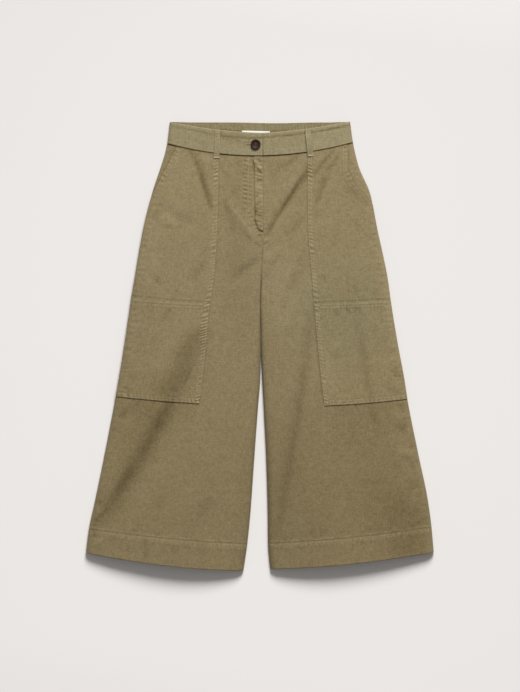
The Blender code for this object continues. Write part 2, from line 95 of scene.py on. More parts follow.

# Belt loops, label, button and buttonhole
FRONT_LOOPS = {"right": ((-77.6, 397.5), (-79.6, 347.5)), "left": ((88.7, 398.5), (93.9, 351.2))}
BACK_LOOPS = {"right": -95, "centre": 2, "left": 99}
LOOP_REACH = np.array([-5.25, -5.1, -4.7, -3.9, -2.6, -1.3, 0, 1.3, 2.6, 3.9, 4.7, 5.1, 5.25])
LOOP_SEAT = 0.25        # clearance under a loop's ends
LOOP_SLACK = {"right": 0.2, "left": 1.2}     # how far each stands off the band at its middle
LOOP_SEAM = 0.87        # the share of a loop that lies on the waistband
LABEL = 0.5
LABEL_LEFT, LABEL_RIGHT = -32.8, 18.6
LABEL_TOPS, LABEL_BOTTOM = (398.3, 396.9), 377.5     # its top edge lies a little askew
LABEL_HEIGHT = 5.2
BUTTON_AT = (-7.5, 372.4)
BUTTON_HOLE = 0.9       # radius of the button's holes
BUTTON_HOLE_PITCH = 3.4
BUTTON_SIDES = 64
BUTTON_PROFILE = (      # radius and height, from the middle over the rim to the underside
    (0, 1.75), (2.6, 1.75), (4.3, 1.85), (5.6, 2.15), (6.6, 2.75), (7.3, 3.15), (8.0, 3.3),
    (8.6, 3.15), (9.05, 2.7), (9.2, 2.1), (9.1, 1.5), (8.7, 0.9), (7.8, 0.45), (6.5, 0.2), (0, 0.1),
)
BUTTONHOLE_START, BUTTONHOLE_END = -26.2, -4.6

# The leg's sections, from the waistband's top edge to the hem, each through the side seam, the patch
# pocket's inner edge and the centre seam or inseam.
SECTION = ("name", "down", "side_x", "side_y", "patch_x", "patch_y", "inner_x", "inner_y")
RIGHT_LEG = (
    ("band top", -43, -166.0, 414.0, -80.0, 399.8, 5.1, 393.7),
    ("waist seam", 0, -171.0, 374.3, -75.8, 355.4, 6.0, 351.5),
    ("hip", 83, -199.3, 281.2, -77.1, 271.9, 6.6, 270.1),
    ("fly end", 143, -215.0, 218.3, -78.5, 212.8, 6.0, 209.1),
    ("crotch", 236, -231.2, 125.8, -85.2, 119.3, 2.3, 116.6),
    ("lap top", 275, -236.9, 92.5, -91.5, 80.5, 1.2, 78.6),
    ("lap end", 286, -239.1, 77.7, -93.1, 69.9, 1.3, 68.0),
    ("knee", 359, -250.5, 0.0, -99.1, -3.7, 2.0, -3.7),
    ("legs part", 418, -260.3, -59.2, -105.5, -62.9, 1.0, -61.1),
    ("patch end", 463, -266.5, -93.5, -111.3, -106.6, -2.9, -110.5),
    ("shin", 570, -287.6, -203.5, -122.6, -214.6, -10.6, -216.5),
    ("calf", 655, -303.6, -281.2, -131.8, -299.7, -16.9, -305.2),
    ("hem stitch", 714, -315.9, -338.6, -139.2, -358.9, -23.0, -366.3),
    ("hem edge", 762, -321.4, -382.0, -146.6, -408.5, -30.2, -415.6),
)
LEFT_LEG = (
    ("band top", -43, 167.0, 415.0, 89.0, 401.6, 5.1, 393.7),
    ("waist seam", 0, 172.5, 376.3, 88.3, 358.4, 6.0, 351.5),
    ("high hip", 38, 182.4, 333.8, 88.23, 318.7, 6.38, 314.4),
    ("hip", 83, 204.3, 281.2, 88.2, 271.9, 6.6, 270.1),
    ("fly end", 143, 216.9, 218.3, 89.1, 212.8, 6.0, 209.1),
    ("crotch", 236, 236.3, 125.8, 96.7, 119.3, 2.3, 116.6),
    ("lap top", 275, 241.7, 87.0, 100.0, 79.9, 1.2, 78.6),
    ("lap end", 286, 243.4, 75.0, 100.9, 70.4, 1.3, 68.0),
    ("knee", 359, 255.8, 0.0, 107.0, -3.7, 2.0, -3.7),
    ("legs part", 418, 266.9, -59.2, 113.3, -62.9, 4.5, -61.1),
    ("patch end", 463, 273.0, -98.1, 119.4, -110.4, 7.1, -111.0),
    ("shin", 570, 294.1, -203.5, 130.0, -214.6, 12.1, -216.5),
    ("calf", 655, 310.3, -281.2, 141.1, -297.9, 14.5, -303.4),
    ("hem stitch", 714, 317.7, -334.9, 148.5, -356.1, 15.3, -365.4),
    ("hem edge", 762, 321.8, -381.1, 153.1, -404.0, 19.4, -412.6),
)
BAND_TOP, LAP_TOP, LAP_END, PATCH_END, HEM_STITCH, HEM_EDGE = -43, 275, 286, 463, 714, 762
CROTCH = 236
FLY_PULL = (179, 215)     # where the fly's end pulls the centre seam flat

# How the front stands off the surface
FORM = ("down", "crown", "centre", "side_rise", "side_round", "inner_rise", "inner_round", "tube")
FORMS = (
    (-43, 11.4, 0.95, 4.5, 9.0, 4.5, 5.0, 0.0),
    (0, 12.4, 0.95, 5.0, 9.0, 5.0, 5.0, 0.0),
    (83, 14.6, 0.90, 5.5, 10.0, 6.5, 5.0, 0.0),
    (143, 15.7, 0.86, 6.0, 11.0, 8.0, 5.0, 0.0),
    (215, 16.5, 0.80, 6.0, 11.0, 9.0, 5.0, 0.0),
    (238, 17.0, 0.80, 6.0, 11.0, 9.5, 5.0, 0.3),
    (286, 18.0, 0.80, 6.5, 11.0, 9.0, 6.0, 0.45),
    (340, 19.3, 0.80, 7.0, 11.2, 8.0, 8.5, 0.8),
    (418, 21.0, 0.80, 7.5, 11.5, 7.0, 11.0, 1.0),
    (570, 23.5, 0.80, 8.5, 12.0, 6.5, 12.0, 1.0),
    (762, 26.0, 0.80, 9.5, 12.0, 6.0, 12.0, 1.0),
)

# Folds. Each runs from one point to another, bowed to its right by bend. A trough sinks along the
# line, a negative one is a ridge, and a step drops from the line's right to its left. Shade is
# painted along a fold by the share dark. Rows: name, from x and y, to x and y, bend, width,
# trough, step, dark.
FOLDS = (
    ("right leg, to the side", -105, 42, -314, -356, -16, 24, 1.0, 6.6, 0.08),
    ("left leg, to the inseam", 98, 65, 24, -366, -6, 14, 1.0, -4.4, 0.08),
    ("left hip to fly", 86, 326, 8, 196, 0, 5, 0.8, 2.3, 0.0),
    ("right hip to fly", -74, 284, 1, 182, 0, 7.5, -1.4, 0, -0.05),
    ("right pocket", -122, 346, -90, 250, -2, 6, 0.6, -1.0, 0.0),
    ("left pocket", 142, 346, 98, 246, 0, 6, 0.6, 1.1, 0.0),
    ("left patch", 180, 80, 216, -150, 5, 11, 1.0, -1.6, 0.06),
    ("right crotch", 8, 172, -66, 112, 0, 10, 1.0, 0.7, 0.02),
    ("left crotch", 76, 152, 38, 66, -6, 12, 1.1, 0.7, 0.03),
    ("right hip", -196, 262, -108, 212, 6, 12, 1.1, 0.8, 0.0),
    ("left side, upper", 262, -148, 294, -196, 0, 9, 1.1, -1.1, 0.0),
    ("left side, lower", 268, -198, 304, -262, 0, 10, 1.2, -1.3, 0.0),
    ("right shin", -88, -280, -122, -352, 0, 16, 1.2, 0.6, 0.02),
    ("left hem", 262, -300, 238, -352, 0, 13, 1.0, 0.6, 0.02),
)

# Creases, by the part of the front that they lie on. Each is a straight trough of its own depth and
# its own painted shade, or a ridge with a painted highlight where those are negative, and longer
# bends are made of two or three. Rows: from x and y, to x and y, width, trough, dark.
CREASES = {
    "right pocket and hip": (
        (-136, 376, -98, 300, 6, 0.9, 0.22), (-111, 321, -88, 248, 6.5, 1.0, 0.28),
        (-113, 355, -88, 336, 6, -0.4, -0.08), (-181, 253, -199, 229, 7, 0.4, 0.12),
        (-188, 220, -139, 217, 5, 0.4, 0.09), (-155, 237, -134, 207, 6, 0.3, 0.07),
        (-201, 175, -190, 135, 8, -0.3, -0.08), (-186, 200, -175, 165, 6, 0.2, 0.05),
        (-194, 129, -182, 110, 6, 0.4, 0.11), (-97, 156, -133, 114, 6, 0.6, 0.13),
        (-153, 293, -143, 263, 5, 0.3, 0.06), (-172, 106, -170, 93, 4, 0.3, 0.08),
        (-154, 106, -151, 91, 4, 0.3, 0.08), (-121, 98, -120, 89, 3, 0.2, 0.06),
    ),
    "beside the fly": (
        (-75, 334, -55, 301, 4, 0.3, 0.07), (-71, 280, -45, 200, 7, 0.4, 0.09),
        (-28, 207, -13, 191, 2.6, 0.5, 0.14), (4, 164, -49, 122, 6, 0.5, 0.08),
        (-13, 191, 4, 182.5, 2.4, 0.5, 0.18),
        (-55, 286, -40, 276, 8, 0.2, 0.05),
    ),
    "fly": (
        (-12.7, 344, -10.3, 318, 2.4, 0.5, 0.26), (-8, 326, 5.5, 319, 2, 0.7, 0.28),
        (-8, 305, 6, 305, 1.8, 0.5, 0.2), (-4, 288, 4, 287.5, 1.5, 0.3, 0.12),
        (-7, 277, 6, 278, 1.5, 0.3, 0.1), (-1, 304, -1, 262, 6, -0.3, -0.17),
        (-9, 259, -5, 237, 3.4, 0.7, 0.30), (-5, 240, 6, 239.5, 2.0, 0.6, 0.24),
        (-10.3, 235.5, -3.6, 220.5, 2.4, 0.7, 0.28), (-3.6, 218, -2, 212, 2.4, 0.6, 0.24),
        (-3, 213.5, 7, 211, 2.4, 0.6, 0.28), (-9, 342, 6, 321, 2.2, -0.6, -0.24),
        (-9, 334, 5, 315, 1.9, 0.5, 0.20), (-4, 348, 6, 334, 1.9, 0.4, 0.18),
        (-5, 205, 6, 205.5, 1.7, 0.4, 0.12), (-5, 200, 6, 199.6, 1.5, 0.4, 0.11),
        (-5, 192.5, 6, 192, 1.7, 0.3, 0.1), (5, 185.5, 17, 196, 2.2, 0.5, 0.17),
        (7, 190, 18, 200, 2.2, -0.5, -0.10), (7, 158, 9, 148, 2.0, 0.4, 0.18),
    ),
    "left front": (
        (97, 333, 28, 237, 6.5, 0.9, 0.36), (36, 252, 9, 199, 6, 0.8, 0.24),
        (88, 331, 80, 322, 3.5, 0.3, 0.08), (87, 241, 44, 199, 8, 0.5, 0.12),
        (44, 199, 9, 177, 6, 0.3, 0.08), (40, 168, 17, 145, 5, 0.5, 0.11),
        (17, 145, 7, 120, 5, 0.4, 0.1), (83, 180, 70, 141, 9, 0.4, 0.09),
        (70, 141, 49, 94, 9, 0.5, 0.11), (76, 354, 40, 326, 4.2, 0.5, 0.12),
        (40, 326, 13, 304, 5, 0.2, 0.05), (18, 175, 14, 156, 9, -0.3, -0.05),
    ),
    "left pocket and hip": (
        (139, 364, 94, 309, 4.6, 0.9, 0.26), (151, 359, 119, 314, 5, 0.7, 0.18),
        (122, 322, 103, 255, 5.5, 0.9, 0.2), (107, 263, 99, 231, 6, 0.3, 0.07),
        (166, 301, 173, 238, 12, 0.4, 0.06), (173, 238, 188, 202, 10, 0.3, 0.05),
        (161, 144, 165, 85, 3.2, 0.4, 0.12), (175, 114, 177, 85, 2.8, 0.3, 0.11),
        (211, 104, 217, 91, 6, 0.4, 0.11), (221, 115, 228, 112, 4, 0.3, 0.11),
        (197, 110, 199, 95, 5, 0.3, 0.07), (117, 133, 120, 112, 5, 0.3, 0.07),
        (150, 155, 146, 135, 4, 0.1, 0.04), (219, 208, 201, 196, 4, 0.2, 0.05),
        (136, 207, 138, 175, 6, 0.2, 0.04),
    ),
    "right patch": (
        (-102, 42, -190, -114, 19, 0.7, 0.17), (-109, 33, -161, -31, 5.5, 0.5, 0.08),
        (-121, -29, -147, -92, 3.4, 0.6, 0.14), (-152, 24, -199, -62, 15, -0.5, -0.05),
        (-114, 48, -113, 47, 7, -0.4, -0.08), (-160, 72, -188, 38, 4, 0.4, 0.08),
        (-193, 13, -203, -1, 4, 0.2, 0.05), (-251, -73, -238, -89, 5, 0.5, 0.13),
        (-248, -57, -226, -62, 6, 0.3, 0.07), (-229, -77, -226, -79, 6, -0.3, -0.07),
        (-158, -75, -155, -86, 3, 0.2, 0.09), (-181, -71, -181, -86, 4, 0.2, 0.07),
        (-208, 76, -197, 75, 3, 0.2, 0.09), (-103, 70, -94, 68, 2.5, 0.2, 0.12),
    ),
    "below the right patch": (
        (-234, -99, -231, -100, 4, 0.4, 0.16), (-229, -105, -225, -111, 5, 0.4, 0.14),
        (-244, -113, -260, -138, 7, 0.5, 0.15), (-267, -145, -272, -158, 6, 0.3, 0.09),
        (-196, -103, -204, -125, 4, 0.3, 0.04), (-160, -108, -199, -152, 12, 0.5, 0.14),
        (-95, -118, -92, -158, 6, 0.2, 0.05), (-78, -120, -74, -138, 3, 0.1, 0.04),
        (-235, -129, -253, -152, 9, -0.4, -0.05),
        (-176, -134, -228, -212, 12, 0.6, 0.14), (-222, -203, -275, -290, 11, 0.6, 0.12),
    ),
    "right shin and hem": (
        (-232, -222, -287, -309, 9, 0.5, 0.1), (-277, -295, -311, -335, 5, 0.8, 0.18),
        (-295, -284, -298, -295, 5, 0.6, 0.2), (-71, -192, -73, -224, 6, 0.1, 0.03),
        (-92, -270, -115, -327, 9, 0.4, 0.08), (-115, -327, -128, -350, 7, 0.3, 0.06),
        (-174, -277, -190, -302, 9, 0.3, 0.07), (-197, -346, -183, -350, 3, 0.3, 0.12),
        (-139, -348, -135, -350, 4, 0.3, 0.1), (-234, -339, -229, -343, 6, 0.3, 0.1),
        (-243, -359, -243, -389, 3, 0.3, 0.1), (-210, -353, -212, -396, 3.2, 0.4, 0.14),
        (-227, -350, -226, -359, 2.4, 0.2, 0.09), (-165, -364, -154, -387, 6, 0.3, 0.08),
        (-113, -398, -110, -401, 5, 0.2, 0.07), (-133, -380, -132, -385, 5, 0.2, 0.07),
        (-39, -378, -34, -398, 10, 0.2, 0.06), (-310, -339, -300, -353, 4, 0.4, 0.12),
        (-285, -350, -307, -371, 4, -0.5, -0.09), (-51, -307, -49, -317, 3, 0.2, 0.06),
    ),
    "left patch": (
        (108, -71, 112, -147, 7, 0.2, 0.07), (52, 93, 39, 57, 6, 0.3, 0.08),
        (135, 68, 148, 52, 4, 0.5, 0.16), (158, 71, 169, 56, 4, 0.5, 0.17),
        (171, 72, 178, 62, 2.5, 0.3, 0.13), (180, 72, 186, 59, 2.5, 0.3, 0.13),
        (130, -9, 148, -28, 9, 0.5, 0.11), (135, 1, 153, -1, 9, -0.4, -0.05),
        (126, -62, 144, -86, 3, -0.3, -0.08), (124, -80, 137, -91, 3, -0.3, -0.07),
        (137, -66, 155, -95, 3, 0.2, 0.06), (184, -89, 186, -98, 2.5, 0.2, 0.12),
        (222, 62, 225, 59, 7, 0.3, 0.09), (231, 10, 234, 8, 6, 0.3, 0.07),
        (243, -8, 249, -17, 7, 0.4, 0.11), (247, -39, 258, -62, 8, 0.5, 0.12),
        (238, -80, 261, -89, 7, 0.4, 0.09), (238, -30, 243, -33, 7, -0.4, -0.06),
        (249, -71, 256, -73, 6, -0.4, -0.06),
        (94, 55, 83, -25, 8, 0.4, 0.07), (83, -25, 63, -147, 8, 0.4, 0.08),
    ),
    "below the left patch": (
        (148, -116, 160, -129, 8, 0.24, 0.07), (175, -109, 184, -118, 3, 0.32, 0.11),
        (186, -109, 189, -116, 2.6, 0.24, 0.1), (194, -107, 216, -147, 5, 0.24, 0.07),
        (184, -118, 192, -136, 4, 0.16, 0.05), (211, -111, 213, -152, 4, 0.16, 0.05),
        (227, -109, 236, -125, 3, 0.24, 0.07), (258, -107, 268, -120, 5, 0.48, 0.12),
        (249, -143, 272, -156, 9, 0.48, 0.08), (249, -122, 263, -138, 5, -0.5, -0.09),
        (169, -145, 171, -158, 8, 0.16, 0.05),
    ),
    "left shin and hem": (
        (163, -146, 177, -185, 5, 0.16, 0.04), (210, -146, 211, -165, 4, 0.16, 0.04),
        (250, -153, 273, -160, 7, 0.48, 0.09), (273, -186, 285, -187, 4, 0.48, 0.12),
        (255, -195, 287, -201, 7, -0.7, -0.09), (283, -213, 289, -222, 6, 0.32, 0.06),
        (248, -215, 266, -247, 10, 0.48, 0.07), (266, -247, 294, -259, 9, 0.56, 0.08),
        (281, -231, 285, -232, 5, -0.4, -0.07), (294, -257, 270, -271, 4.5, 0.48, 0.09),
        (273, -286, 292, -284, 8, -0.6, -0.07), (296, -300, 278, -320, 9, 0.4, 0.07),
        (310, -320, 287, -330, 3.4, 0.48, 0.1), (287, -330, 276, -339, 3.4, 0.4, 0.1),
        (90, -339, 101, -353, 7, 0.32, 0.08), (116, -342, 120, -346, 5, 0.24, 0.08),
        (152, -341, 154, -346, 7, 0.24, 0.06), (101, -354, 109, -354, 2.4, 0.16, 0.1),
        (191, -337, 211, -339, 5, 0.24, 0.08), (238, -337, 240, -338, 5, 0.24, 0.06),
        (256, -334, 258, -335, 5, 0.24, 0.06), (33, -373, 28, -380, 5, 0.32, 0.08),
        (230, -368, 320, -362, 20, 0.08, 0.05),
        (54, -396, 58, -397, 6, 0.16, 0.05), (310, -359, 311, -364, 5, 0.24, 0.08),
        (182, -364, 193, -362, 5, 0.16, 0.05), (172, -382, 182, -385, 10, -0.3, -0.05),
        (64, -146, 46, -272, 9, 0.32, 0.06), (46, -272, 28, -356, 9, 0.32, 0.05),
    ),
}

# Broad stretches of painted shade, or of painted light where the last number is negative. Rows:
# name, from x and y, to x and y, width, dark.
SHADED_STRETCHES = (
    ("right pocket", -138, 381, -188, 159, 33, -0.066),
    ("right side", -207, 261, -216, 113, 22, -0.05),
    ("right front, beside the fly", -44, 353, -44, 20, 26, 0.075),
    ("left front, below the fly", 43, 205, 47, -7, 37, -0.075),
    ("left side, upper", 212, 300, 258, -50, 13, -0.12),
    ("left patch, inner edge", 130, 20, 137, -100, 22, -0.08),
    ("left leg, outer", 195, -100, 287, -562, 60, 0.15),
    ("left leg, lower", 74, -100, 74, -544, 92, 0.085),
    ("left leg, inseam", 15, -155, 22, -396, 26, 0.05),
    ("right leg, outer", -175, -35, -290, -370, 30, 0.09),
    ("right leg, inseam", -20, -150, -32, -350, 14, 0.07),
    ("left leg, outer hem", 262, -250, 290, -410, 36, 0.11),
    ("right front, below the band", -58, 340, -6, 318, 14, 0.08),
    ("left front, below the band", 12, 325, 58, 338, 14, 0.08),
)

# The pockets' slanted mouths, and how far each gapes
RIGHT_MOUTH = ((-152.0, 371.0), (-175.0, 325.0), (-202.0, 272.0))
LEFT_MOUTH = ((162.5, 374.0), (162.5, 326.0), (176.0, 298.0), (207.0, 262.0))
RIGHT_GAPE, LEFT_GAPE = 0.8, 3.0

# Rows of points: a first distance down, then pairs of a distance and the spacing up to it
FRONT_ROWS = (0.1, (8, 1.0), (290, 2.0), (700, 2.75), (712, 1.6), (722, 1.0), (757, 2.2), (HEM_EDGE, 0.6))
BACK_ROWS = (0.1, (60, 2.2), (712, 5.2), (718, 1.5), (HEM_EDGE, 4))
POCKET_ROWS = (0.4, (4, 0.9), (LAP_TOP - 0.1, 1.75))
PATCH_ROWS = (
    LAP_TOP + 0.1, (LAP_TOP + 1.3, 0.3), (LAP_END + 3, 0.9), (448, 1.75),
    (PATCH_END - 1.3, 1.1), (PATCH_END, 0.32),
)
BAND_ROWS = (BAND_TOP, (-41, 0.35), (-2, 1.25), (-0.15, 0.3))

# Columns of points: distances from a piece's long edges, and the number of steps between
EDGE_STEPS = (0, 0.15, 0.4, 0.8, 1.4, 2.2, 3.2, 4.4, 5.8, 7.4, 9.2, 11.2, 13.4)
BACK_STEPS = (0, 0.3, 0.8, 1.5, 2.4, 3.4, 4.6)
PATCH_STEPS = (0, 0.3, 0.7, 1.2, 1.8, 2.5, 3.4, 4.4, 5.5, 6.6, 7.7, 8.8, 9.8, 10.9, 12.2, 13.8, 15.6)
BAND_STEPS, BAND_END_STEPS = (0, 0.3, 0.8, 1.5, 2.4, 3.6), (0, 0.4, 0.9, 1.5)
FRONT_PARTS, BACK_PARTS, POCKET_PARTS, PATCH_PARTS, BAND_PARTS = 115, 76, 52, 60, 127

# The fly's topstitching, and the gathers beside it: from x and y, to x and y, width, height
FLY_STITCH = ((-21.0, 350.0), (-21.0, 250.0), (-16.2, 235.0), (-8.0, 211.0), (4.0, 194.0))
RUFFLES = (
    (-26.5, 347, -26.5, 250, 4.2, 1.5), (-17.3, 345, -17.3, 262, 2.6, 0.9),
    (-37.0, 338, -37.0, 268, 4.0, 0.35), (-22.0, 250, 2.0, 198, 3.6, 1.1),
)

# Stretches of the hem with painted highlights on its puckers: from x, to x, brightness
HEM_GLINTS = {
    "right": (
        (-301, -282, 0.8), (-280, -270, 0.9), (-265, -249, 0.4), (-212, -194, 0.9), (-190, -170, 1.0),
        (-151, -129, 0.9), (-103, -81, 1.0), (-74, -56, 0.5),
    ),
    "left": (
        (28, 47, 0.8), (54, 78, 0.9), (98, 139, 1.0), (148, 171, 0.9), (200, 217, 0.8),
        (228, 245, 0.8), (259, 282, 0.8), (287, 315, 0.8),
    ),
}
# how much paler each hem is below its stitches
HEM_PALER = {"right": 0.02, "left": 0.09}
EDGE_SHADOW = {"right": (0.10, 0.12), "left": (0.08, 0.22)}   # painted shadow beside the pocket's and the patch's edge
# painted shadow along each pocket's mouth
MOUTH_SHADOW = {"right": 0.25, "left": 0.14}

# Where the inner edge's stitches gather a patch most: y, over how far, and how much
PATCH_PULL = {"right": (28, 48, 1.0), "left": (-38, 30, 0.45)}
POCKET_PULL = {"right": 0.62, "left": 0.72}     # how strong the ladders along a pocket's edge are
END_PULL = {"right": 0.7, "left": 0.4}          # and along a patch's lower edge
# Beads along a patch's three rows of topstitching: pitch, seed, width, painted highlight, painted shade
BEADED = ((5.6, 81, 1.3, 0.8, 0.22), (5.6, 83, 1.3, 0.8, 0.22), (6.2, 85, 1.4, 0.45, 0.15))

# The placket's width at distances down, and how far down each part of its lower end reaches
PLACKET_WIDTHS = ((0, 17.6), (7, 18.6), (20, 15.9), (33, 16.4), (75, 15.8), (109, 15.5), (150, 15.5))
PLACKET_ENDS = ((0, 118.5), (2, 126), (5, 132.5), (8.6, 137), (12, 139.5), (15.5, 140.3), (19, 140.5))
# How dark the painted shadow along its left edge is, by y
PLACKET_SHADOW = (
    (208, 0.42), (219, 0.42), (231, 0.32), (238, 0.15), (243, 0.30), (272, 0.30), (278, 0.08),
    (312, 0.08), (315, 0.30), (326, 0.30), (328.5, 0.10), (331, 0.32), (343, 0.32), (350, 0.10),
)

# The waistband's ends at the fly, and the soft line under its top edge, where its seam allowance
# ends: x, distance down, depth
LAPPED_END = 5.1
LAPPED_RISE = 0.7
UNDERLAP_DROP = 3.8
BAND_ENDS = {"right": LAPPED_END, "left": -24.0}
BAND_LINE = (
    (-160, -35.0, 0.45), (-135, -34.0, 0.5), (-110, -33.5, 0.5), (-70, -32.0, 0.75), (-45, -31.5, 0.85),
    (-15, -31.0, 0.7), (10, -33.5, 0.9), (30, -34.0, 1.1), (60, -34.0, 1.2), (85, -34.0, 0.95),
    (110, -34.0, 1.0), (135, -34.5, 1.1), (160, -34.5, 0.8),
)

# The back waistband: its edges, the heights of its gathered face, its own seam, and where the front
# band's top edge shades it (leg, from x, to x)
BACK_TOP_Y, BACK_SEAM_Y = 413.4, 372.8
BAND_FLOOR, BAND_FULL = 0.8, 3.2
GATHER_PITCH, GATHER_HALF = 6.0, 129.0
BACK_SEAM_X = 8.0
BACK_SHADES = (("right", -76, -24), ("left", 17, 57))

# The back panels' folds, in the same form as the front's, and how wide their edges turn up
BACK_ROUND = 4.5
BACK_FOLDS = (
    ("right seat", -30, 250, -150, 60, 12, 11, -1.4, 0.7, 0.05),
    ("left seat", 36, 240, 140, 70, -10, 12, -1.5, -0.7, 0.05),
    ("right hip", -190, 250, -90, 190, -6, 8, -1.0, 0.5, 0.05),
    ("left hip", 190, 240, 100, 160, 8, 8, -1.0, 0.4, 0.05),
    ("right knee", -220, 40, -120, -60, 8, 10, -1.2, 0.5, 0.06),
    ("right knee, lower", -236, 0, -150, -90, 6, 7, -0.8, 0.3, 0.05),
    ("left knee", 90, -20, 230, -90, 8, 10, -1.2, 0.5, 0.06),
    ("left knee, lower", 110, -70, 240, -130, 5, 7, -0.8, 0.3, 0.05),
    ("right calf", -150, -120, -250, -330, 10, 13, -1.5, 0.8, 0.07),
    ("left calf", 120, -150, 190, -340, -8, 12, -1.4, -0.7, 0.07),
    ("right hem", -60, -260, -100, -360, 5, 9, -1.0, 0.4, 0.05),
    ("left hem", 250, -260, 220, -360, -5, 9, -1.0, 0.4, 0.05),
    ("right inseam", -20, 60, -60, -160, 6, 8, -1.1, 0.4, 0.06),
    ("left inseam", 24, 70, 70, -170, -6, 9, -1.1, -0.4, 0.06),
    ("right side", -262, -180, -230, -260, 4, 7, -1.0, 0.4, 0.05),
    ("left side", 280, -140, 250, -230, 4, 7, -1.0, 0.4, 0.05),
)

# The flat cut of what shows of each node: width, length and area, in metres, and what it rests on
CUTS = (
    ("front_right", 0.310, 0.805, 0.197, "back_right"),
    ("front_left", 0.310, 0.805, 0.197, "back_left"),
    ("back_right", 0.320, 0.805, 0.199, "floor"),
    ("back_left", 0.320, 0.805, 0.199, "floor"),
    ("pocket_right", 0.150, 0.276, 0.0355, "front_right"),
    ("pocket_left", 0.145, 0.276, 0.0345, "front_left"),
    ("patch_right", 0.158, 0.190, 0.0287, "front_right"),
    ("patch_left", 0.158, 0.190, 0.0285, "front_left"),
    ("fly_placket", 0.0186, 0.140, 0.00219, "front_right"),
    ("waistband_front_right", 0.177, 0.043, 0.0075, "waistband_back"),
    ("waistband_front_left", 0.197, 0.043, 0.0083, "waistband_back"),
    ("waistband_back", 0.390, 0.043, 0.0166, "floor"),
    ("belt_loop_front_right", 0.0105, 0.052, None, "waistband_front_right"),
    ("belt_loop_front_left", 0.0105, 0.051, None, "waistband_front_left"),
    ("belt_loop_back_right", 0.0105, 0.0405, None, "floor"),
    ("belt_loop_back_centre", 0.0105, 0.0405, None, "floor"),
    ("belt_loop_back_left", 0.0105, 0.0405, None, "floor"),
    ("label", 0.0515, 0.0225, None, "waistband_back"),
)

# The floor's tones at its reach below and above the middle, in metres
FLOOR_REACH = 0.6
FLOOR_NEAR = (0.955, 0.930, 0.923)
FLOOR_FAR = (0.610, 0.594, 0.590)

# The light's size and distance in metres, its angles above the floor and from +Y towards +X
LIGHT_SIZE, LIGHT_DISTANCE, LIGHT_POWER = 2.1, 4.3, 255
LIGHT_HEIGHT, LIGHT_TURN = math.radians(39), math.radians(10)
SURROUND = 0.255

# The photograph's frame: 520 by 692 pixels of 1.85 mm
FRAME_HEIGHT = 1280.2
LENS = 200
SENSOR = 36


# ---- Curves and surfaces ----


def table(names, rows):
    """The columns of a table, by name."""
    return dict(zip(names, zip(*rows)))


def leg_lines(sign, sections, mouth, gape):
    return {"sign": sign, "guide": table(SECTION, sections), "mouth": np.array(mouth), "gape": gape}


LEGS = {
    "right": leg_lines(1, RIGHT_LEG, RIGHT_MOUTH, RIGHT_GAPE),
    "left": leg_lines(-1, LEFT_LEG, LEFT_MOUTH, LEFT_GAPE),
}
SHAPE = table(FORM, FORMS)


def mix(a, b, share):
    return a + (b - a) * share


def ease(t):
    t = np.clip(t, 0, 1)
    return t * t * (3 - 2 * t)


def roll(distance, width):
    """A quarter ellipse, from 0 at an edge to 1 at width from it."""
    inside = 1 - np.clip(distance / width, 0, 1)
    return np.sqrt(np.maximum(1 - inside * inside, 0))


def hump(distance, width):
    return np.exp(-((distance / width) ** 2))


def ridges_of(value):
    return np.clip(value, 0, 1)


def hollows_of(value):
    return np.clip(-value, 0, 1)


def between(value, start, end, soft):
    """1 between two marks, easing to 0 within soft of them."""
    return ease((value - start) / soft) * ease((end - value) / soft)


def smooth(stations, values, at):
    """A smooth curve through a table's column, with no overshoot between its rows."""
    stations, values = np.array(stations, float), np.array(values, float)
    length = np.diff(stations)
    slope = np.diff(values) / length
    before, after = slope[:-1], slope[1:]
    rising = before * after > 0
    tangent = np.zeros(len(values))
    tangent[1:-1][rising] = 2 * before[rising] * after[rising] / (before + after)[rising]
    tangent[0], tangent[-1] = slope[0], slope[-1]
    index = np.clip(np.searchsorted(stations, at, side="right") - 1, 0, len(length) - 1)
    t = (at - stations[index]) / length[index]
    curve = mix(values[index], values[index + 1], t * t * (3 - 2 * t))
    return curve + length[index] * t * (1 - t) * (tangent[index] * (1 - t) - tangent[index + 1] * t)


def uneven(x, y, size, seed):
    """Smooth unevenness between -1 and 1, in patches of about the given size."""
    grid = np.random.default_rng(seed).uniform(-1, 1, (61, 61))
    x, y = np.broadcast_arrays(np.asarray(x, float) / size, np.asarray(y, float) / size)
    column, row = np.floor(x).astype(int), np.floor(y).astype(int)
    across, up = ease(x - column), ease(y - row)
    low = mix(grid[row % 61, column % 61], grid[row % 61, (column + 1) % 61], across)
    high = mix(grid[(row + 1) % 61, column % 61], grid[(row + 1) % 61, (column + 1) % 61], across)
    return mix(low, high, up)


def puckers(along, across, pitch, seed, crisp=0):
    """Small ridges along a line, uneven in spacing and height, from about -1 to 1."""
    wander = uneven(along, across * 0.4, 3 * pitch, seed) * 0.7 * pitch
    strength = 0.65 + 0.35 * uneven(along, 0, 2.2 * pitch, seed + 1)
    wave = np.sin(2 * math.pi * (along + wander) / pitch)
    return mix(wave, wave / np.sqrt(wave * wave + 0.12), crisp) * strength


def along_line(x, y, from_x, from_y, to_x, to_y, bend=0):
    """How far each point lies along a line, as a share of it, and how far to its right."""
    length = math.hypot(to_x - from_x, to_y - from_y)
    along_x, along_y = (to_x - from_x) / length, (to_y - from_y) / length
    along = ((x - from_x) * along_x + (y - from_y) * along_y) / length
    across = (x - from_x) * along_y - (y - from_y) * along_x
    return along, across - bend * 4 * along * (1 - along)


def folds(x, y, rows=FOLDS, fade=lambda rise: rise**0.7):
    """How far the folds raise or sink the cloth at each point, and how much shade is painted along them.
    """
    height = np.zeros(np.broadcast(x, y).shape)
    dark = np.zeros(height.shape)
    for _, *line, bend, width, trough, step, shade in rows:
        along, across = along_line(x, y, *line, bend)
        bell = fade(np.sin(np.pi * np.clip(along, 0, 1))) * hump(across, width)
        height += (1.6 * step * across / width - trough) * bell
        dark += shade * bell
    return height, dark


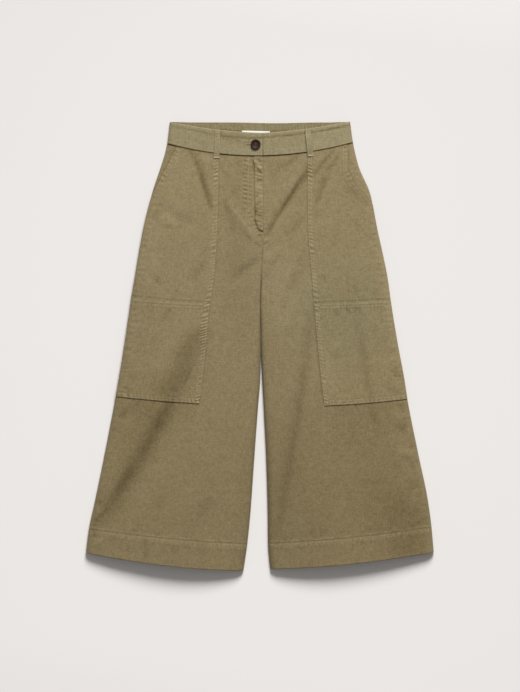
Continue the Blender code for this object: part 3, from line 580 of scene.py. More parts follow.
def creases(x, y):
    """The same for the small creases of the front."""
    rows = [(0, *row[:4], 0, row[4], row[5], 0, row[6]) for part in CREASES.values() for row in part]
    return folds(x, y, rows, lambda rise: np.minimum(1.5 * rise, 1))


def painted_shade_and_light(x, y):
    """The painted shade of folds, creases and broad stretches at each point, and painted light where it
    is negative.
    """
    dark = folds(x, y)[1] + creases(x, y)[1]
    for _, from_x, *line, width, shade in SHADED_STRETCHES:
        along, across = along_line(x, y, from_x, *line)
        same_leg = ease(0.5 + np.sign(from_x) * x / 30)
        dark += shade * hump(across, width) * np.sqrt(np.sin(np.pi * np.clip(along, 0, 1))) * same_leg
    return dark


def guide(leg, down):
    """The leg's guide lines and form at each distance down."""
    lines = LEGS[leg]["guide"]
    values = {name: smooth(lines["down"], lines[name], down) for name in SECTION[2:]}
    values.update({name: smooth(SHAPE["down"], SHAPE[name], down) for name in FORM[1:]})
    return values


def row_y(lines, x):
    """The row's curve through its three guide points."""
    x0, x1, x2 = lines["side_x"], lines["patch_x"], lines["inner_x"]
    first = (lines["patch_y"] - lines["side_y"]) / (x1 - x0)
    second = ((lines["inner_y"] - lines["patch_y"]) / (x2 - x1) - first) / (x2 - x0)
    return lines["side_y"] + first * (x - x0) + second * (x - x0) * (x - x1)


def survey(leg, down, x):
    """A leg's lines and y at each point, and how far it lies from the side, patch and inner line."""
    lines = guide(leg, down)
    distances = (np.abs(x - lines[line]) for line in ("side_x", "patch_x", "inner_x"))
    return lines, row_y(lines, x), *distances


def down_at(leg, x, y):
    """The distance down of the row that passes through each point."""
    low = np.full(np.broadcast(x, y).shape, BAND_TOP - 5.0)
    high = np.full(low.shape, HEM_EDGE + 5.0)
    for _ in range(26):
        middle = (low + high) / 2
        above = row_y(guide(leg, middle), x) > y
        low, high = np.where(above, middle, low), np.where(above, high, middle)
    return (low + high) / 2


def front_height(lines, x, y):
    """The height of the front's outer face: an arch between its seams, folded and creased."""
    from_side, from_inner = np.abs(x - lines["side_x"]), np.abs(x - lines["inner_x"])
    share = from_side / (from_side + from_inner)
    tube = lines["tube"]
    rolled = np.minimum(
        roll(from_side, lines["side_round"]), mix(1, roll(from_inner, lines["inner_round"]), tube)
    )
    rise = mix(lines["side_rise"], lines["inner_rise"], share)
    outer = np.sin(np.pi * np.minimum(share, 0.5))
    joined = np.where(share < 0.5, outer, mix(1, lines["centre"], ease(2 * share - 1)))
    arched = np.sin(np.pi * np.clip(share, 0, 1) ** 1.2) ** 0.7
    base = SEAM_HEIGHT + EDGE_LIFT
    height = base + rise * rolled + (lines["crown"] - base - rise) * mix(joined, arched, tube)
    calm = ease(from_side / 25) * mix(1, ease(from_inner / 25), tube)
    height += folds(x, y)[0] * calm + creases(x, y)[0] * ease(from_side / 6)
    pulled = np.maximum(0.85 * between(y, *FLY_PULL, 6), 0.5 * ease((y + 20) / 60))
    seam = np.maximum(hump(from_side, 0.8), hump(from_inner, 0.8) * (1 - pulled))
    return height - EDGE_LIFT * seam


def points(x, y, z):
    return np.stack(np.broadcast_arrays(x, y, z), axis=-1)


def fly_ruffle(x, y):
    """Short ridges across the fly's topstitching, from about -1 to 1."""
    total = np.zeros(np.broadcast(x, y).shape)
    for *line, width, height in RUFFLES:
        length = math.hypot(line[2] - line[0], line[3] - line[1])
        along, across = along_line(x, y, *line)
        ridge = puckers(along * length + 0.3 * across, across, 8, 45)
        total += height * ridge * hump(across, width) * between(along * length, 0, length, 6)
    return total


def front_face(leg):
    """A front panel's outer face, with its hem, its seams' puckers and the cloth's unevenness."""

    def face(down, x):
        lines, y, from_side, _, from_inner = survey(leg, down, x)
        below = down - HEM_STITCH
        in_hem = ease(below / 3)
        small = 0.22 * uneven(x, y, 34, 1) + 0.14 * uneven(x, y, 15, 2)
        small += in_hem * (0.12 + 0.22 * puckers(x, down, 8.5, 3) * hump(below - 7, 9))
        small += 0.12 * hump(below + GLINT_ABOVE, 2) - 0.4 * hump(below, 1.5)
        small += 0.16 * puckers(x, down, 6.5, 5) * hump(below + 5, 6)
        small -= 1.1 * (1 - roll(HEM_EDGE - down, 2.4))
        small += 0.25 * puckers(down, from_inner, 9, 7) * hump(from_inner - 4, 5)
        small += 0.3 * puckers(down, from_side, 11, 9) * hump(from_side - 9, 6)
        if leg == "right":
            small += 0.42 * fly_ruffle(x, y)
        small *= ease(np.minimum(from_side, from_inner) / 6)
        return points(x, y, front_height(lines, x, y) + small)

    return face


def seam_shadow(down):
    """The painted shadow under the waist seam's edge, and painted shade just below it."""
    return 0.8 * hump(down - 0.4, 1.05) + 0.07 * np.exp(-np.clip(down, 0, None) / 7)


def hem_glints(leg, x, down):
    """Painted highlights on the puckers just above the hem's stitches."""
    strength = np.zeros(np.broadcast(x, down).shape)
    for start, end, bright in HEM_GLINTS[leg]:
        strength += bright * between(x, start, end, 3) * (0.5 + 0.5 * puckers(x, 0, 6.4, 47, 0.7))
    return strength * hump(down - HEM_STITCH + GLINT_ABOVE, 1.5)


def front_tones(leg, down, x, y):
    """How pale and how dark a front panel is painted at each point: painted shade and shadows, painted
    highlights and wear.
    """
    lines, _, _, _, from_inner = survey(leg, down, x)
    dark = painted_shade_and_light(x, y) + seam_shadow(down)
    inwards = LEGS[leg]["sign"] * (x - lines["patch_x"])
    beside_pocket, beside_patch = EDGE_SHADOW[leg]
    beside = np.where(down < LAP_TOP, beside_pocket, beside_patch)
    under = down - PATCH_END
    # painted shadow beside the pocket's and the patch's inner edge and under the patch's lower edge, and
    # painted shade fading below it
    dark += beside * hump(inwards - 1.3, 1.2) * (under < 0) * (inwards > 0)
    dark += 0.22 * hump(under - 0.6, 1.0) * (under > 0) * (inwards < 1)
    dark += 0.08 * hump(under, 60) * (under > 0) * ease(-inwards / 20)
    # painted shade along the centre seam and between the legs
    centre = ease((down - 168) / 8) * (1 - ease((down - 300) / 40))
    dark += 0.20 * (hump(from_inner, 1.5) * centre + hump(from_inner, 4.0) * ease((down - 290) / 30))
    below = down - HEM_STITCH
    # painted shade in the hem's stitch line
    beaded = 0.6 + 0.4 * puckers(x, 0, 6.4, 49, 0.5)
    dark += 0.05 * (hump(below, 1.2) * beaded + hump(below - 10.5, 3))
    # paler along the hem's fold and its strip below the stitches; painted highlights above the stitches
    # and on the puckers
    highlight_and_wear = 0.20 * hump(HEM_EDGE - down, 2.5) + 0.8 * hem_glints(leg, x, down)
    highlight_and_wear += (0.13 + 0.16 * puckers(x, 0, 8, 46, 0.4)) * ease(below / 2) * (1 - ease((below - 6) / 4))
    highlight_and_wear += 0.06 * hump(below + 3.5, 1.6) + HEM_PALER[leg] * ease(below / 4)
    highlight_and_wear += 0.05 * uneven(x, 0, 9, 48) * ease(below / 3)
    # painted shadow along the pocket's mouth
    past = inside_mouth(leg, down, x)
    dark += (past < 0) * MOUTH_SHADOW[leg] * hump(past + 0.8, 1.2)
    if leg == "right":
        # painted shade in the fly's gathers and beside the mouth, painted highlights on their ridges
        ruffled = fly_ruffle(x, y)
        dark += 0.36 * hollows_of(ruffled) + 0.09 * hump(past + 6, 7) * (past < 0)
        highlight_and_wear += 0.52 * ridges_of(ruffled)
    return highlight_and_wear, dark


def normal(face, down, x, step=0.4):
    """Unit normals of a face, turned up."""
    across = face(down, x + step) - face(down, x - step)
    along = face(down + step, x) - face(down - step, x)
    out = np.cross(across, along)
    out *= np.sign(out[..., 2:])
    return out / np.linalg.norm(out, axis=-1, keepdims=True)


def raised(face, lift):
    """A face moved out from another one by lift(down, x)."""

    def over(down, x):
        return face(down, x) + normal(face, down, x) * np.asarray(lift(down, x))[..., None]

    return over


# ---- Meshes ----


def place_object(name, data):
    obj = bpy.data.objects.new(name, data)
    bpy.context.scene.collection.objects.link(obj)
    return obj


def new_mesh(name, verts, faces):
    mesh = bpy.data.meshes.new(name)
    mesh.from_pydata([tuple(v) for v in verts], [], faces)
    return mesh


def new_piece(name, mesh, material):
    mesh.materials.append(material)
    obj = place_object(name, mesh)
    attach(obj, BODY)
    return obj


def grid_mesh(name, grid, up=True):
    """A sheet through a grid of points, in millimetres."""
    rows, columns = grid.shape[:2]
    corner = (np.arange(rows - 1)[:, None] * columns + np.arange(columns - 1)).ravel()
    quads = np.stack((corner, corner + 1, corner + columns + 1, corner + columns), axis=1)
    side = np.cross(grid[0, -1] - grid[0, 0], grid[-1, 0] - grid[0, 0])[2]
    if (side > 0) != up:
        quads = quads[:, ::-1]
    mesh = new_mesh(name, grid.reshape(-1, 3) * MM, quads.tolist())
    edges = np.array([e.vertices for e in mesh.edges])
    rim = np.zeros(len(edges), bool)
    for line, last in ((edges // columns, rows - 1), (edges % columns, columns - 1)):
        rim |= (line == 0).all(1) | (line == last).all(1)
    mesh.shade_smooth()
    mesh.attributes.new("sharp_edge", "BOOLEAN", "EDGE").data.foreach_set("value", rim)
    return mesh


def cloth(
    node, grid, wall, material, tones=(0, 0), up=True, wall_share=None, ending="_cloth"
):
    """A node's sheet of cloth: its outer face, made solid inwards. wall_share thins it point by point."""
    mesh = grid_mesh(node + ending, grid, up)
    for key, values in zip(("painted_highlight_and_wear", "dark"), tones):
        layer = mesh.attributes.new(key, "FLOAT", "POINT")
        layer.data.foreach_set("value", np.asarray(values * np.ones(grid.shape[:2]), "f").ravel())
    obj = new_piece(node + ending, mesh, material)
    solid = obj.modifiers.new("Wall", "SOLIDIFY")
    solid.thickness = wall * MM
    solid.offset = -1
    if wall_share is not None:
        group = obj.vertex_groups.new(name="wall")
        shares = np.round(wall_share, 2).ravel()
        for share in np.unique(shares):
            group.add(np.nonzero(shares == share)[0].tolist(), float(share), "REPLACE")
        solid.vertex_group = group.name
    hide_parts(node)


def rows_between(*marks):
    """Distances down: pairs of a mark and the spacing up to it, after a first mark."""
    down = [marks[0]]
    for end, spacing in marks[1:]:
        parts = max(1, round((end - down[-1]) / spacing))
        down += list(np.linspace(down[-1], end, parts + 1)[1:])
    return np.array(down)[:, None]


def columns_between(outer, inner, sign, parts, steps, last):
    """Columns from an outer line to an inner one, close together by both."""
    first, end = outer + sign * np.array(steps), inner - sign * np.array(last)[::-1]
    return np.hstack((first, mix(first[:, -1:], end[:, :1], np.arange(1, parts) / parts), end))


# ---- Materials ----


class Nodes:
    """A material's node tree, built a node at a time."""

    def __init__(self, name, inputs):
        self.material = bpy.data.materials.new(name)
        self.material.use_nodes = True
        self.tree = self.material.node_tree
        self.shader = self.tree.nodes["Principled BSDF"]
        self.fill(self.shader, inputs)
        self.place = self.add("TexCoord").outputs["Object"]
        self.relief = None

    def fill(self, node, values):
        for key, value in values.items():
            if isinstance(value, bpy.types.NodeSocket):
                self.tree.links.new(value, node.inputs[key])
            else:
                node.inputs[key].default_value = value

    def add(self, kind, values=None, **settings):
        node = self.tree.nodes.new("ShaderNode" + kind)
        for key, value in settings.items():
            setattr(node, key, value)
        self.fill(node, values or {})
        return node

    def moved(self, key, value):
        """The place, turned or stretched."""
        return self.add("Mapping", {"Vector": self.place, key: value}).outputs[0]

    def noise(self, scale, detail=2, rough=0.5, place=None):
        place = self.place if place is None else place
        values = {"Vector": place, "Scale": scale, "Detail": detail, "Roughness": rough}
        return self.add("TexNoise", values).outputs["Fac"]

    def wave(self, values, **settings):
        return self.add("TexWave", values, **settings).outputs["Fac"]

    def painted(self, name):
        return self.add("Attribute", attribute_name=name).outputs["Fac"]

    def math(self, operation, a, b):
        return self.add("Math", {0: a, 1: b}, operation=operation).outputs[0]

    def spread(self, value, low, high, to_low, to_high):
        """A value from low to high, stretched to another range."""
        keys = ("Value", "From Min", "From Max", "To Min", "To Max")
        return self.add("MapRange", dict(zip(keys, (value, low, high, to_low, to_high)))).outputs[0]

    def tint(self, factor, a, b, blend="MIX", clamp=True):
        node = self.add("Mix", data_type="RGBA", blend_type=blend, clamp_factor=clamp)
        ends = (end if isinstance(end, bpy.types.NodeSocket) else (*end, 1) for end in (a, b))
        self.fill(node, dict(zip((0, 6, 7), (factor, *ends))))
        return node.outputs[2]

    def bump(self, strength, distance, height):
        """Fine relief, on top of what the material has."""
        values = {"Strength": strength, "Distance": distance, "Height": height}
        if self.relief is not None:
            values["Normal"] = self.relief
        self.relief = self.add("Bump", values).outputs[0]
        self.fill(self.shader, {"Normal": self.relief})

    def finish(self, colour):
        self.fill(self.shader, {"Base Color": colour})
        return self.material


TWILL_LIGHT = (0.292, 0.236, 0.1313)
TWILL_DARK = (0.140, 0.102, 0.043)
TWILL_TONE = 0.58       # the cloth's usual place between the two
TWILL_TURN = math.radians(63)
BAND_TINT = (1.02, 1.09, 1.15)     # the waistband has faded more, and greyer
GREENER = (0.94, 1.0, 0.99)         # the dye on the left thigh
GREENER_AT = (0.150, 0.045, 0.012)
REDDER = (1.02, 1.0, 0.965)         # warmer in tone from the knees down
# The mottling beside the grain: scale, detail, roughness and strength
MOTTLES = ((190, 3, 0.6, 0.10), (90, 2, 0.5, 0.05), (30, 4, 0.6, 0.035), (5.5, 2, 0.5, 0.03))
THREAD_STRETCHES = ((1, 0.22, 1), (0.22, 1, 1))


def twill_material(name, tint=(1, 1, 1)):
    """Washed cotton twill: fine diagonal ribs and mottled dye, made paler by painted highlights and wear
    and darker by painted shade.
    """
    inputs = {"Roughness": 0.88, "Sheen Weight": 0.12, "Sheen Roughness": 0.5, "Specular IOR Level": 0.25}
    n = Nodes(name, inputs)
    ribs = {"Vector": n.moved("Rotation", (0, 0, TWILL_TURN)), "Scale": 420.0, "Distortion": 1.2}
    ribs = n.wave({**ribs, "Detail": 1, "Detail Scale": 3})
    grain = n.noise(430, 3, 0.7)
    marks = [(grain, 0.20)] + [(n.noise(*noise), strength) for *noise, strength in MOTTLES]
    for stretch in THREAD_STRETCHES:
        marks.append((n.noise(520, 2, 0.6, n.moved("Scale", stretch)), 0.13))
    tone = n.spread(ribs, 0, 1, TWILL_TONE - 0.02, TWILL_TONE + 0.02)
    for mark, strength in marks:
        tone = n.math("ADD", tone, n.spread(mark, 0.3, 0.7, -strength, strength))
    patchy = n.spread(n.noise(380, 3, 0.7), 0.35, 0.65, 0.4, 1.1)
    # painted highlights and wear lift the tone, painted shade and shadows lower it
    tone = n.math("ADD", tone, n.math("MULTIPLY", n.painted("painted_highlight_and_wear"), patchy))
    tone = n.math("SUBTRACT", tone, n.math("MULTIPLY", n.painted("dark"), 1.45))
    tone = n.math("MINIMUM", n.math("MAXIMUM", tone, -0.5), 1.7)
    shades = (np.multiply(shade, tint).tolist() for shade in (TWILL_DARK, TWILL_LIGHT))
    colour = n.tint(tone, *shades, clamp=False)
    away = n.add("VectorMath", {0: n.place, 1: GREENER_AT}, operation="DISTANCE").outputs["Value"]
    away = n.math("ADD", away, n.spread(n.noise(14), 0.3, 0.7, -0.03, 0.03))
    colour = n.tint(n.spread(away, 0.045, 0.12, 1, 0), colour, GREENER, "MULTIPLY")
    lower = n.spread(n.add("SeparateXYZ", {"Vector": n.place}).outputs["Y"], 0.1, -0.2, 0, 1)
    n.bump(0.5, 0.0005, n.noise(95, 4, 0.6))
    n.bump(0.6, 0.0005, grain)
    n.bump(0.5, 0.00018, ribs)
    return n.finish(n.tint(lower, colour, REDDER, "MULTIPLY"))


def thread_material():
    n = Nodes("thread", {"Roughness": 0.7, "Sheen Weight": 0.15})
    return n.finish(n.tint(n.noise(900), (0.27, 0.215, 0.12), (0.37, 0.30, 0.18)))


def glossy_thread(name, dark, light):
    """Thicker thread for the tacks and the button, and the dark strip of painted shadow in the
    buttonhole's slit.
    """
    n = Nodes(name, {"Roughness": 0.7})
    mottle = n.noise(900, 3, 0.6)
    n.bump(0.3, 0.0002, mottle)
    return n.finish(n.tint(mottle, dark, light))


def label_material():
    """Woven white tape, with fine ribs across it."""
    n = Nodes("label_tape", {"Roughness": 0.75})
    ribs = n.wave({"Vector": n.place, "Scale": 900.0}, bands_direction="Y")
    n.bump(0.4, 0.0001, ribs)
    tone = n.spread(n.math("ADD", ribs, n.noise(500, 3, 0.6)), 0.3, 1.7, 0, 1)
    return n.finish(n.tint(tone, (0.74, 0.73, 0.70), (0.88, 0.875, 0.86)))


def resin_material():
    """Dark brown resin, turned and matt, with faint streaks."""
    n = Nodes("button_resin", {"Roughness": 0.5, "Specular IOR Level": 0.16})
    n.bump(0.3, 0.00005, n.noise(2200))
    streaks = n.noise(260, 4, 0.6, n.moved("Scale", (1, 3, 1)))
    return n.finish(n.tint(streaks, (0.015, 0.007, 0.004), (0.040, 0.020, 0.013)))


# ---- Front and back panels ----


def leg_sheet(leg, face, rows, parts, steps):
    """A leg panel's rows, columns, inner edge and grid, and the share of its wall at each point."""
    down, sign = rows_between(*rows), LEGS[leg]["sign"]
    lines = guide(leg, down)
    inner_x = lines["inner_x"] - sign * SEAM_CLEAR
    x = columns_between(lines["side_x"], inner_x, sign, parts, steps, steps)
    share = np.where(down > HEM_STITCH + 1, 1.0, CLOTH / HEM) * np.ones_like(x)
    return down, x, inner_x, face(down, x), share


def make_front(leg):
    down, x, _, grid, share = leg_sheet(leg, front_face(leg), FRONT_ROWS, FRONT_PARTS, EDGE_STEPS)
    grid[:, 0, 2] = SEAM_HEIGHT + SEAM_CLEAR
    tones = front_tones(leg, down, x, grid[..., 1])
    cloth("front_" + leg, grid, HEM, TWILL_CLOTH, tones, wall_share=share)


def back_face(leg):
    """A back panel's outer face, which lies on the surface and turns up to the front at its edges."""
    sign = LEGS[leg]["sign"]

    def face(down, x):
        lines, y, from_side, _, from_inner = survey(leg, down, x)
        straighten = BACK_SEAM_Y - row_y(guide(leg, np.zeros(1)), x)
        y = y + straighten * np.clip(1 - down / 170, 0, 1) ** 1.5
        seam_x = lines["inner_x"] - sign * SEAM_CLEAR
        meets = front_height(lines, seam_x, row_y(lines, seam_x)) - 0.1
        side = (SEAM_HEIGHT - SEAM_CLEAR) * (1 - roll(from_side, BACK_ROUND))
        inner = meets * (1 - roll(from_inner, BACK_ROUND)) * ease((down - CROTCH + 10) / 10)
        calm = ease(np.minimum(from_side, from_inner) / 15)
        creased = folds(x, y, BACK_FOLDS)[0] + 0.35 + 0.35 * uneven(x, y, 30, 21)
        gather = 1.6 * np.exp(-np.clip(down, 0, None) / 55) * (0.5 + 0.5 * puckers(x, down, 11, 23))
        centre = 0.5 * hump(from_inner, 1.2) * (down < CROTCH)
        z = np.maximum(side, inner) + np.maximum(creased * calm, 0) + gather * calm + centre
        return points(x, y, z)

    return face


def make_back(leg):
    down, x, inner_x, grid, share = leg_sheet(leg, back_face(leg), BACK_ROWS, BACK_PARTS, BACK_STEPS)
    grid[..., 2] = np.maximum(grid[..., 2], 0)
    # paler along the hem's fold and the inner edge; painted shade of the folds, in the hem's stitch line
    # and along the inner edge
    highlight_and_wear = 0.2 * hump(HEM_EDGE - down, 3) + 0.15 * hump(x - inner_x, 3)
    dark = folds(x, grid[..., 1], BACK_FOLDS)[1] + 0.15 * hump(down - HEM_STITCH, 1.5)
    dark += 0.2 * hump(x - inner_x, 1.2) * (down < CROTCH)
    cloth("back_" + leg, grid, HEM, TWILL_CLOTH, (highlight_and_wear, dark), up=False, wall_share=share)


# ---- Patch pockets ----


def mouth_x(leg, down):
    """Where each row meets the pocket's mouth, or the side seam below the mouth's end."""
    mouth, lines = LEGS[leg]["mouth"], guide(leg, down)
    x = lines["side_x"] + LEGS[leg]["sign"] * SIDE_INSET
    edge = x.copy()
    for _ in range(6):
        y = row_y(lines, edge)
        edge = np.where(y > mouth[-1, 1], np.interp(y, mouth[::-1, 1], mouth[::-1, 0]), x)
    return np.where(np.abs(edge) < np.abs(x), edge, x)


def inside_mouth(leg, down, x):
    """How far inside a pocket's mouth a point lies; negative is outside, beside the side seam."""
    below = row_y(guide(leg, down), x) < LEGS[leg]["mouth"][-1, 1] + 2
    return np.where(below, 99.0, np.abs(mouth_x(leg, down)) - np.abs(x))


def ladder(along, across, pitch, seed, reach=6.5):
    """Slanted ridges between the twin rows of topstitching, from about -1 to 1."""
    inside = ease(across / 1.6) * (1 - ease((across - reach) / 4.5))
    return puckers(along + 0.3 * across, across, pitch, seed, 0.8) * inside


def pocket_ladders(leg, y, from_patch, past):
    """The ladders along a pocket panel's inner edge and its mouth."""
    uneasy = POCKET_PULL[leg] + 0.35 * uneven(y, 0, 26, 57)
    mouth = ladder(y, np.maximum(past, 0), 7.6, 33) * ease((y - 255) / 30) * (past < 40)
    return ladder(y, from_patch, 7.1, 31) * uneasy, mouth


def patch_ladders(leg, down, x, y, from_patch, from_side):
    """The ladders along a patch's inner edge, its lower edge and the lapped seam at its top."""
    pulled_at, pulled_over, pull = PATCH_PULL[leg]
    pulled = pull * hump(y - pulled_at, pulled_over)
    uneasy = 0.8 + 0.3 * uneven(y, 0, 26, 58) + 0.5 * pulled
    calm = ease(from_side / 8)
    inner = ladder(y, from_patch, 5.9, 35, 6 + 5 * pulled) * uneasy
    end = ladder(x, PATCH_END - down, 7.8, 37) * calm
    top = puckers(x, down, 6.4, 39) * hump(down - LAP_TOP - 15, 6) * calm
    return inner, end, top


def ladder_tones(ridges):
    """Painted highlights on the ridges and painted shade in the hollows."""
    return 0.85 * ridges_of(ridges), 0.38 * hollows_of(ridges)


def stitched_edge(across):
    """How far the twin rows of topstitching sink the cloth."""
    return hump(across - ROW_NEAR, 0.9) + hump(across - ROW_FAR, 0.9)


def rub_and_highlight_strip(across):
    """The paler strip along a topstitched edge: partly wear, partly a painted highlight on the raised
    cloth.
    """
    return 0.06 * hump(across - 1.2, 1.0) + 0.12 * (1 - ease((across - 7) / 3))


def foot_dark(leg, x, y):
    """The shade below a front loop's tacked foot."""
    foot_x, foot_y = FRONT_LOOPS[leg][1]
    return 0.45 * hump(y - foot_y + 0.9, 1.0) * ease((LOOP_WIDTH / 2 + 0.8 - np.abs(x - foot_x)) / 1.2)


def pocket_face(leg):
    mouth, gape = LEGS[leg]["mouth"], LEGS[leg]["gape"]

    def lift(down, x):
        _, y, _, from_patch, _ = survey(leg, down, x)
        past = inside_mouth(leg, down, x)
        share = np.clip((y - mouth[-1, 1]) / np.ptp(mouth[:, 1]), 0, 1)
        stands = gape * ease(1 - past / 28) * np.sin(np.pi * share) * (y > mouth[-1, 1])
        edge = np.minimum(roll(from_patch, 1.3), roll(np.maximum(past, 0), 1.3))
        along, beside = pocket_ladders(leg, y, from_patch, past)
        sunk = 0.3 * stitched_edge(from_patch) + 0.25 * stitched_edge(past)
        small = 0.65 * along + 0.35 * beside - sunk
        return SEAM_GAP + PATCH * (0.35 + 0.65 * edge) + stands + small * edge

    return raised(front_face(leg), lift)


def patch_face(leg):
    def lift(down, x):
        _, y, from_side, from_patch, _ = survey(leg, down, x)
        from_top, from_end = down - LAP_TOP, PATCH_END - down
        edge = roll(np.minimum(from_patch, from_end), 1.3) * (0.6 + 0.4 * roll(from_top, 1.3))
        lap = LAP_RISE * (1 - ease((down - LAP_END + 2) / 3))
        sunk = stitched_edge(from_patch)
        for row_top, row_end in zip(LAP_ROWS, END_ROWS):
            sunk += 0.6 * hump(from_top - row_top, 1.1) + hump(from_end - row_end, 0.9)
        inner, end, top = patch_ladders(leg, down, x, y, from_patch, from_side)
        small = 0.65 * inner + 0.35 * end + 0.3 * top - 0.28 * sunk
        return SEAM_GAP + PATCH * (0.35 + 0.65 * edge) + lap + small * edge * ease(from_side / 8)

    return raised(front_face(leg), lift)


def patch_sheet(leg, face, down, outer, parts):
    """The columns and grid of a pocket or patch, and where its points lie."""
    inner, sign = guide(leg, down)["patch_x"], LEGS[leg]["sign"]
    x = columns_between(outer, inner, sign, parts, PATCH_STEPS[:9], PATCH_STEPS)
    _, y, from_side, from_patch, _ = survey(leg, down, x)
    return x, face(down, x), y, from_side, from_patch


def make_pocket(leg):
    down = rows_between(*POCKET_ROWS)
    x, grid, y, _, from_patch = patch_sheet(leg, pocket_face(leg), down, mouth_x(leg, down), POCKET_PARTS)
    past = inside_mouth(leg, down, x)
    along, beside = pocket_ladders(leg, y, from_patch, past)
    # painted highlights on the ladders' ridges and the topstitched strip, painted shade in their hollows
    highlight_and_wear, dark = ladder_tones(along + 0.5 * beside)
    highlight_and_wear += rub_and_highlight_strip(from_patch)
    # painted shade of the folds; painted shadow under the waist seam, below the loop's foot, along the
    # lower edge, the inner edge and the mouth
    dark += painted_shade_and_light(x, y) + seam_shadow(down) + foot_dark(leg, x, y)
    dark += 0.22 * hump(down - LAP_TOP + 1.0, 1.5) * (1 + 0.6 * puckers(x, 0, 7, 87))
    dark += 0.10 * hump(from_patch, 0.5) + 0.22 * hump(past, 0.6)
    cloth("pocket_" + leg, grid, PATCH_CLOTH, TWILL_CLOTH, (highlight_and_wear, dark))


def make_patch(leg):
    down = rows_between(*PATCH_ROWS)
    outer = guide(leg, down)["side_x"] + LEGS[leg]["sign"] * SIDE_INSET
    x, grid, y, from_side, from_patch = patch_sheet(leg, patch_face(leg), down, outer, PATCH_PARTS)
    from_top, from_end = down - LAP_TOP, PATCH_END - down
    inner, end, top = patch_ladders(leg, down, x, y, from_patch, from_side)
    # painted highlights on the ladders' ridges, the topstitched strips, the stitch rows and the beads;
    # painted shade in their hollows, along the edges and under the lapped seam
    highlight_and_wear, dark = ladder_tones(inner + END_PULL[leg] * end + 0.4 * top)
    highlight_and_wear += rub_and_highlight_strip(from_patch) + 0.10 * hump(from_end - 2.2, 1.0) + 0.05 * hump(from_end - 6.3, 1.3)
    dark += painted_shade_and_light(x, y) + 0.10 * hump(from_patch, 0.5) + 0.05 * hump(from_top, 1.0)
    spotted = 1 + 0.6 * puckers(x, 0, 8, 89)
    dark += (0.12 * hump(from_top - 7.3, 1.0) + 0.10 * hump(from_top - 13.0, 1.2)) * spotted
    for row in LAP_ROWS:
        highlight_and_wear += 0.20 * hump(from_top - row, 1.6)
    beads_at = zip((*(from_top - row for row in LAP_ROWS), from_end - END_ROWS[0]), BEADED)
    for offset, (pitch, seed, width, bright, shade) in beads_at:
        beaded = puckers(x, 0, pitch, seed, 0.6) * hump(offset, width)
        highlight_and_wear += bright * ridges_of(beaded)
        dark += shade * hollows_of(beaded)
    cloth("patch_" + leg, grid, PATCH_CLOTH, TWILL_CLOTH, (highlight_and_wear, dark))


# ---- Fly placket ----


def placket_width(down):
    return smooth(*np.array(PLACKET_WIDTHS, float).T, np.clip(down, 0, 150))


def placket_lift(down, x):
    from_right = guide("right", down)["inner_x"] - x
    from_left = placket_width(down) - from_right
    edge = np.minimum(roll(from_left, 1.2), roll(from_right, 1.0))
    wrinkle = 0.4 * puckers(down + 0.5 * from_left, from_left, 15, 41) * hump(from_left - 9, 8)
    wrinkle += 0.3 * puckers(down - 0.3 * from_left, from_left, 7, 43) * hump(from_left - 5, 6)
    return SEAM_GAP + PATCH * (0.4 + 0.6 * edge) + wrinkle * edge


def make_placket():
    parts = np.hstack(([0, 0.02, 0.045], np.linspace(0.08, 0.94, 17), [0.965, 0.985, 0.995]))
    end = np.interp(parts * 15.5, *np.array(PLACKET_ENDS).T)
    down = mix(0.3, end, rows_between(0, (1, 0.0095)))
    width = placket_width(down)
    across = parts * width
    x = guide("right", down)["inner_x"] - width + across
    grid = raised(front_face("right"), placket_lift)(down, x)
    y = grid[..., 1]
    ribs = puckers(down - 0.3 * across, across, 6.5, 43, 0.5) * between(across, 0, width, 3)
    slanted = puckers(down + 0.5 * across, across, 15, 41) * hump(across - 5, 5)
    # painted highlights on the ribs; painted shadow along both edges, under the seam and at the lower
    # end; painted shade in the ribs' and wrinkles' hollows
    highlight_and_wear = 0.10 * hump(across - 3.5, 2.0) + 0.04 + 0.45 * ridges_of(ribs)
    dark = painted_shade_and_light(x, y) + np.interp(y, *np.array(PLACKET_SHADOW).T) * hump(across, 1.4)
    dark += 0.05 * hump(width - across - 0.2, 1) + seam_shadow(down) + 0.4 * hump(end - down, 1.5)
    dark += 0.28 * hollows_of(ribs) + 0.22 * hollows_of(slanted)
    cloth("fly_placket", grid, PATCH_CLOTH, TWILL_CLOTH, (highlight_and_wear, dark))


# ---- Waistband ----


def band_crease(down, x):
    """How deep the line under the band's top edge is."""
    line_x, line_down, depth = np.array(BAND_LINE).T
    offset = down - np.interp(x, line_x, line_down) + 0.8 * uneven(x, 0, 19, 67)
    depth = np.interp(x, line_x, depth) * (1 + 0.35 * uneven(x, 0, 13, 51))
    return depth * (hump(offset, 2.2) + 0.25 * hump(offset - 3, 5))


def band_dip(down, x):
    """The hollow in the right half, between its loop and the button."""
    return hump(x + 50, 28) * hump(down + 27, 12)


def band_face(leg):
    """The front waistband's outer face."""

    def face(down, x):
        lines, y, from_side, _, _ = survey(leg, down, x)
        creased = band_crease(down, x) + 0.6 * band_dip(down, x)
        edges = 1.3 * (1 - roll(down - BAND_TOP, 1.8)) + 0.9 * (1 - roll(-down, 1.5))
        ripple = 0.16 * puckers(x, down, 9, 53) * hump(down + 4, 5) + 0.2 * uneven(x, y, 16, 55)
        proud = BAND_PROUD - 0.7 * creased - edges + ripple
        z = front_height(lines, x, y) + proud * roll(from_side, 3)
        if leg == "right":
            z += LAPPED_RISE * ease(1 - (LAPPED_END - x) / 30) - 0.8 * (1 - roll(LAPPED_END - x, 1.2))
        else:
            z -= UNDERLAP_DROP * ease((LAPPED_END + 0.3 - x) / 1.6)
        return points(x, y, z)

    return face


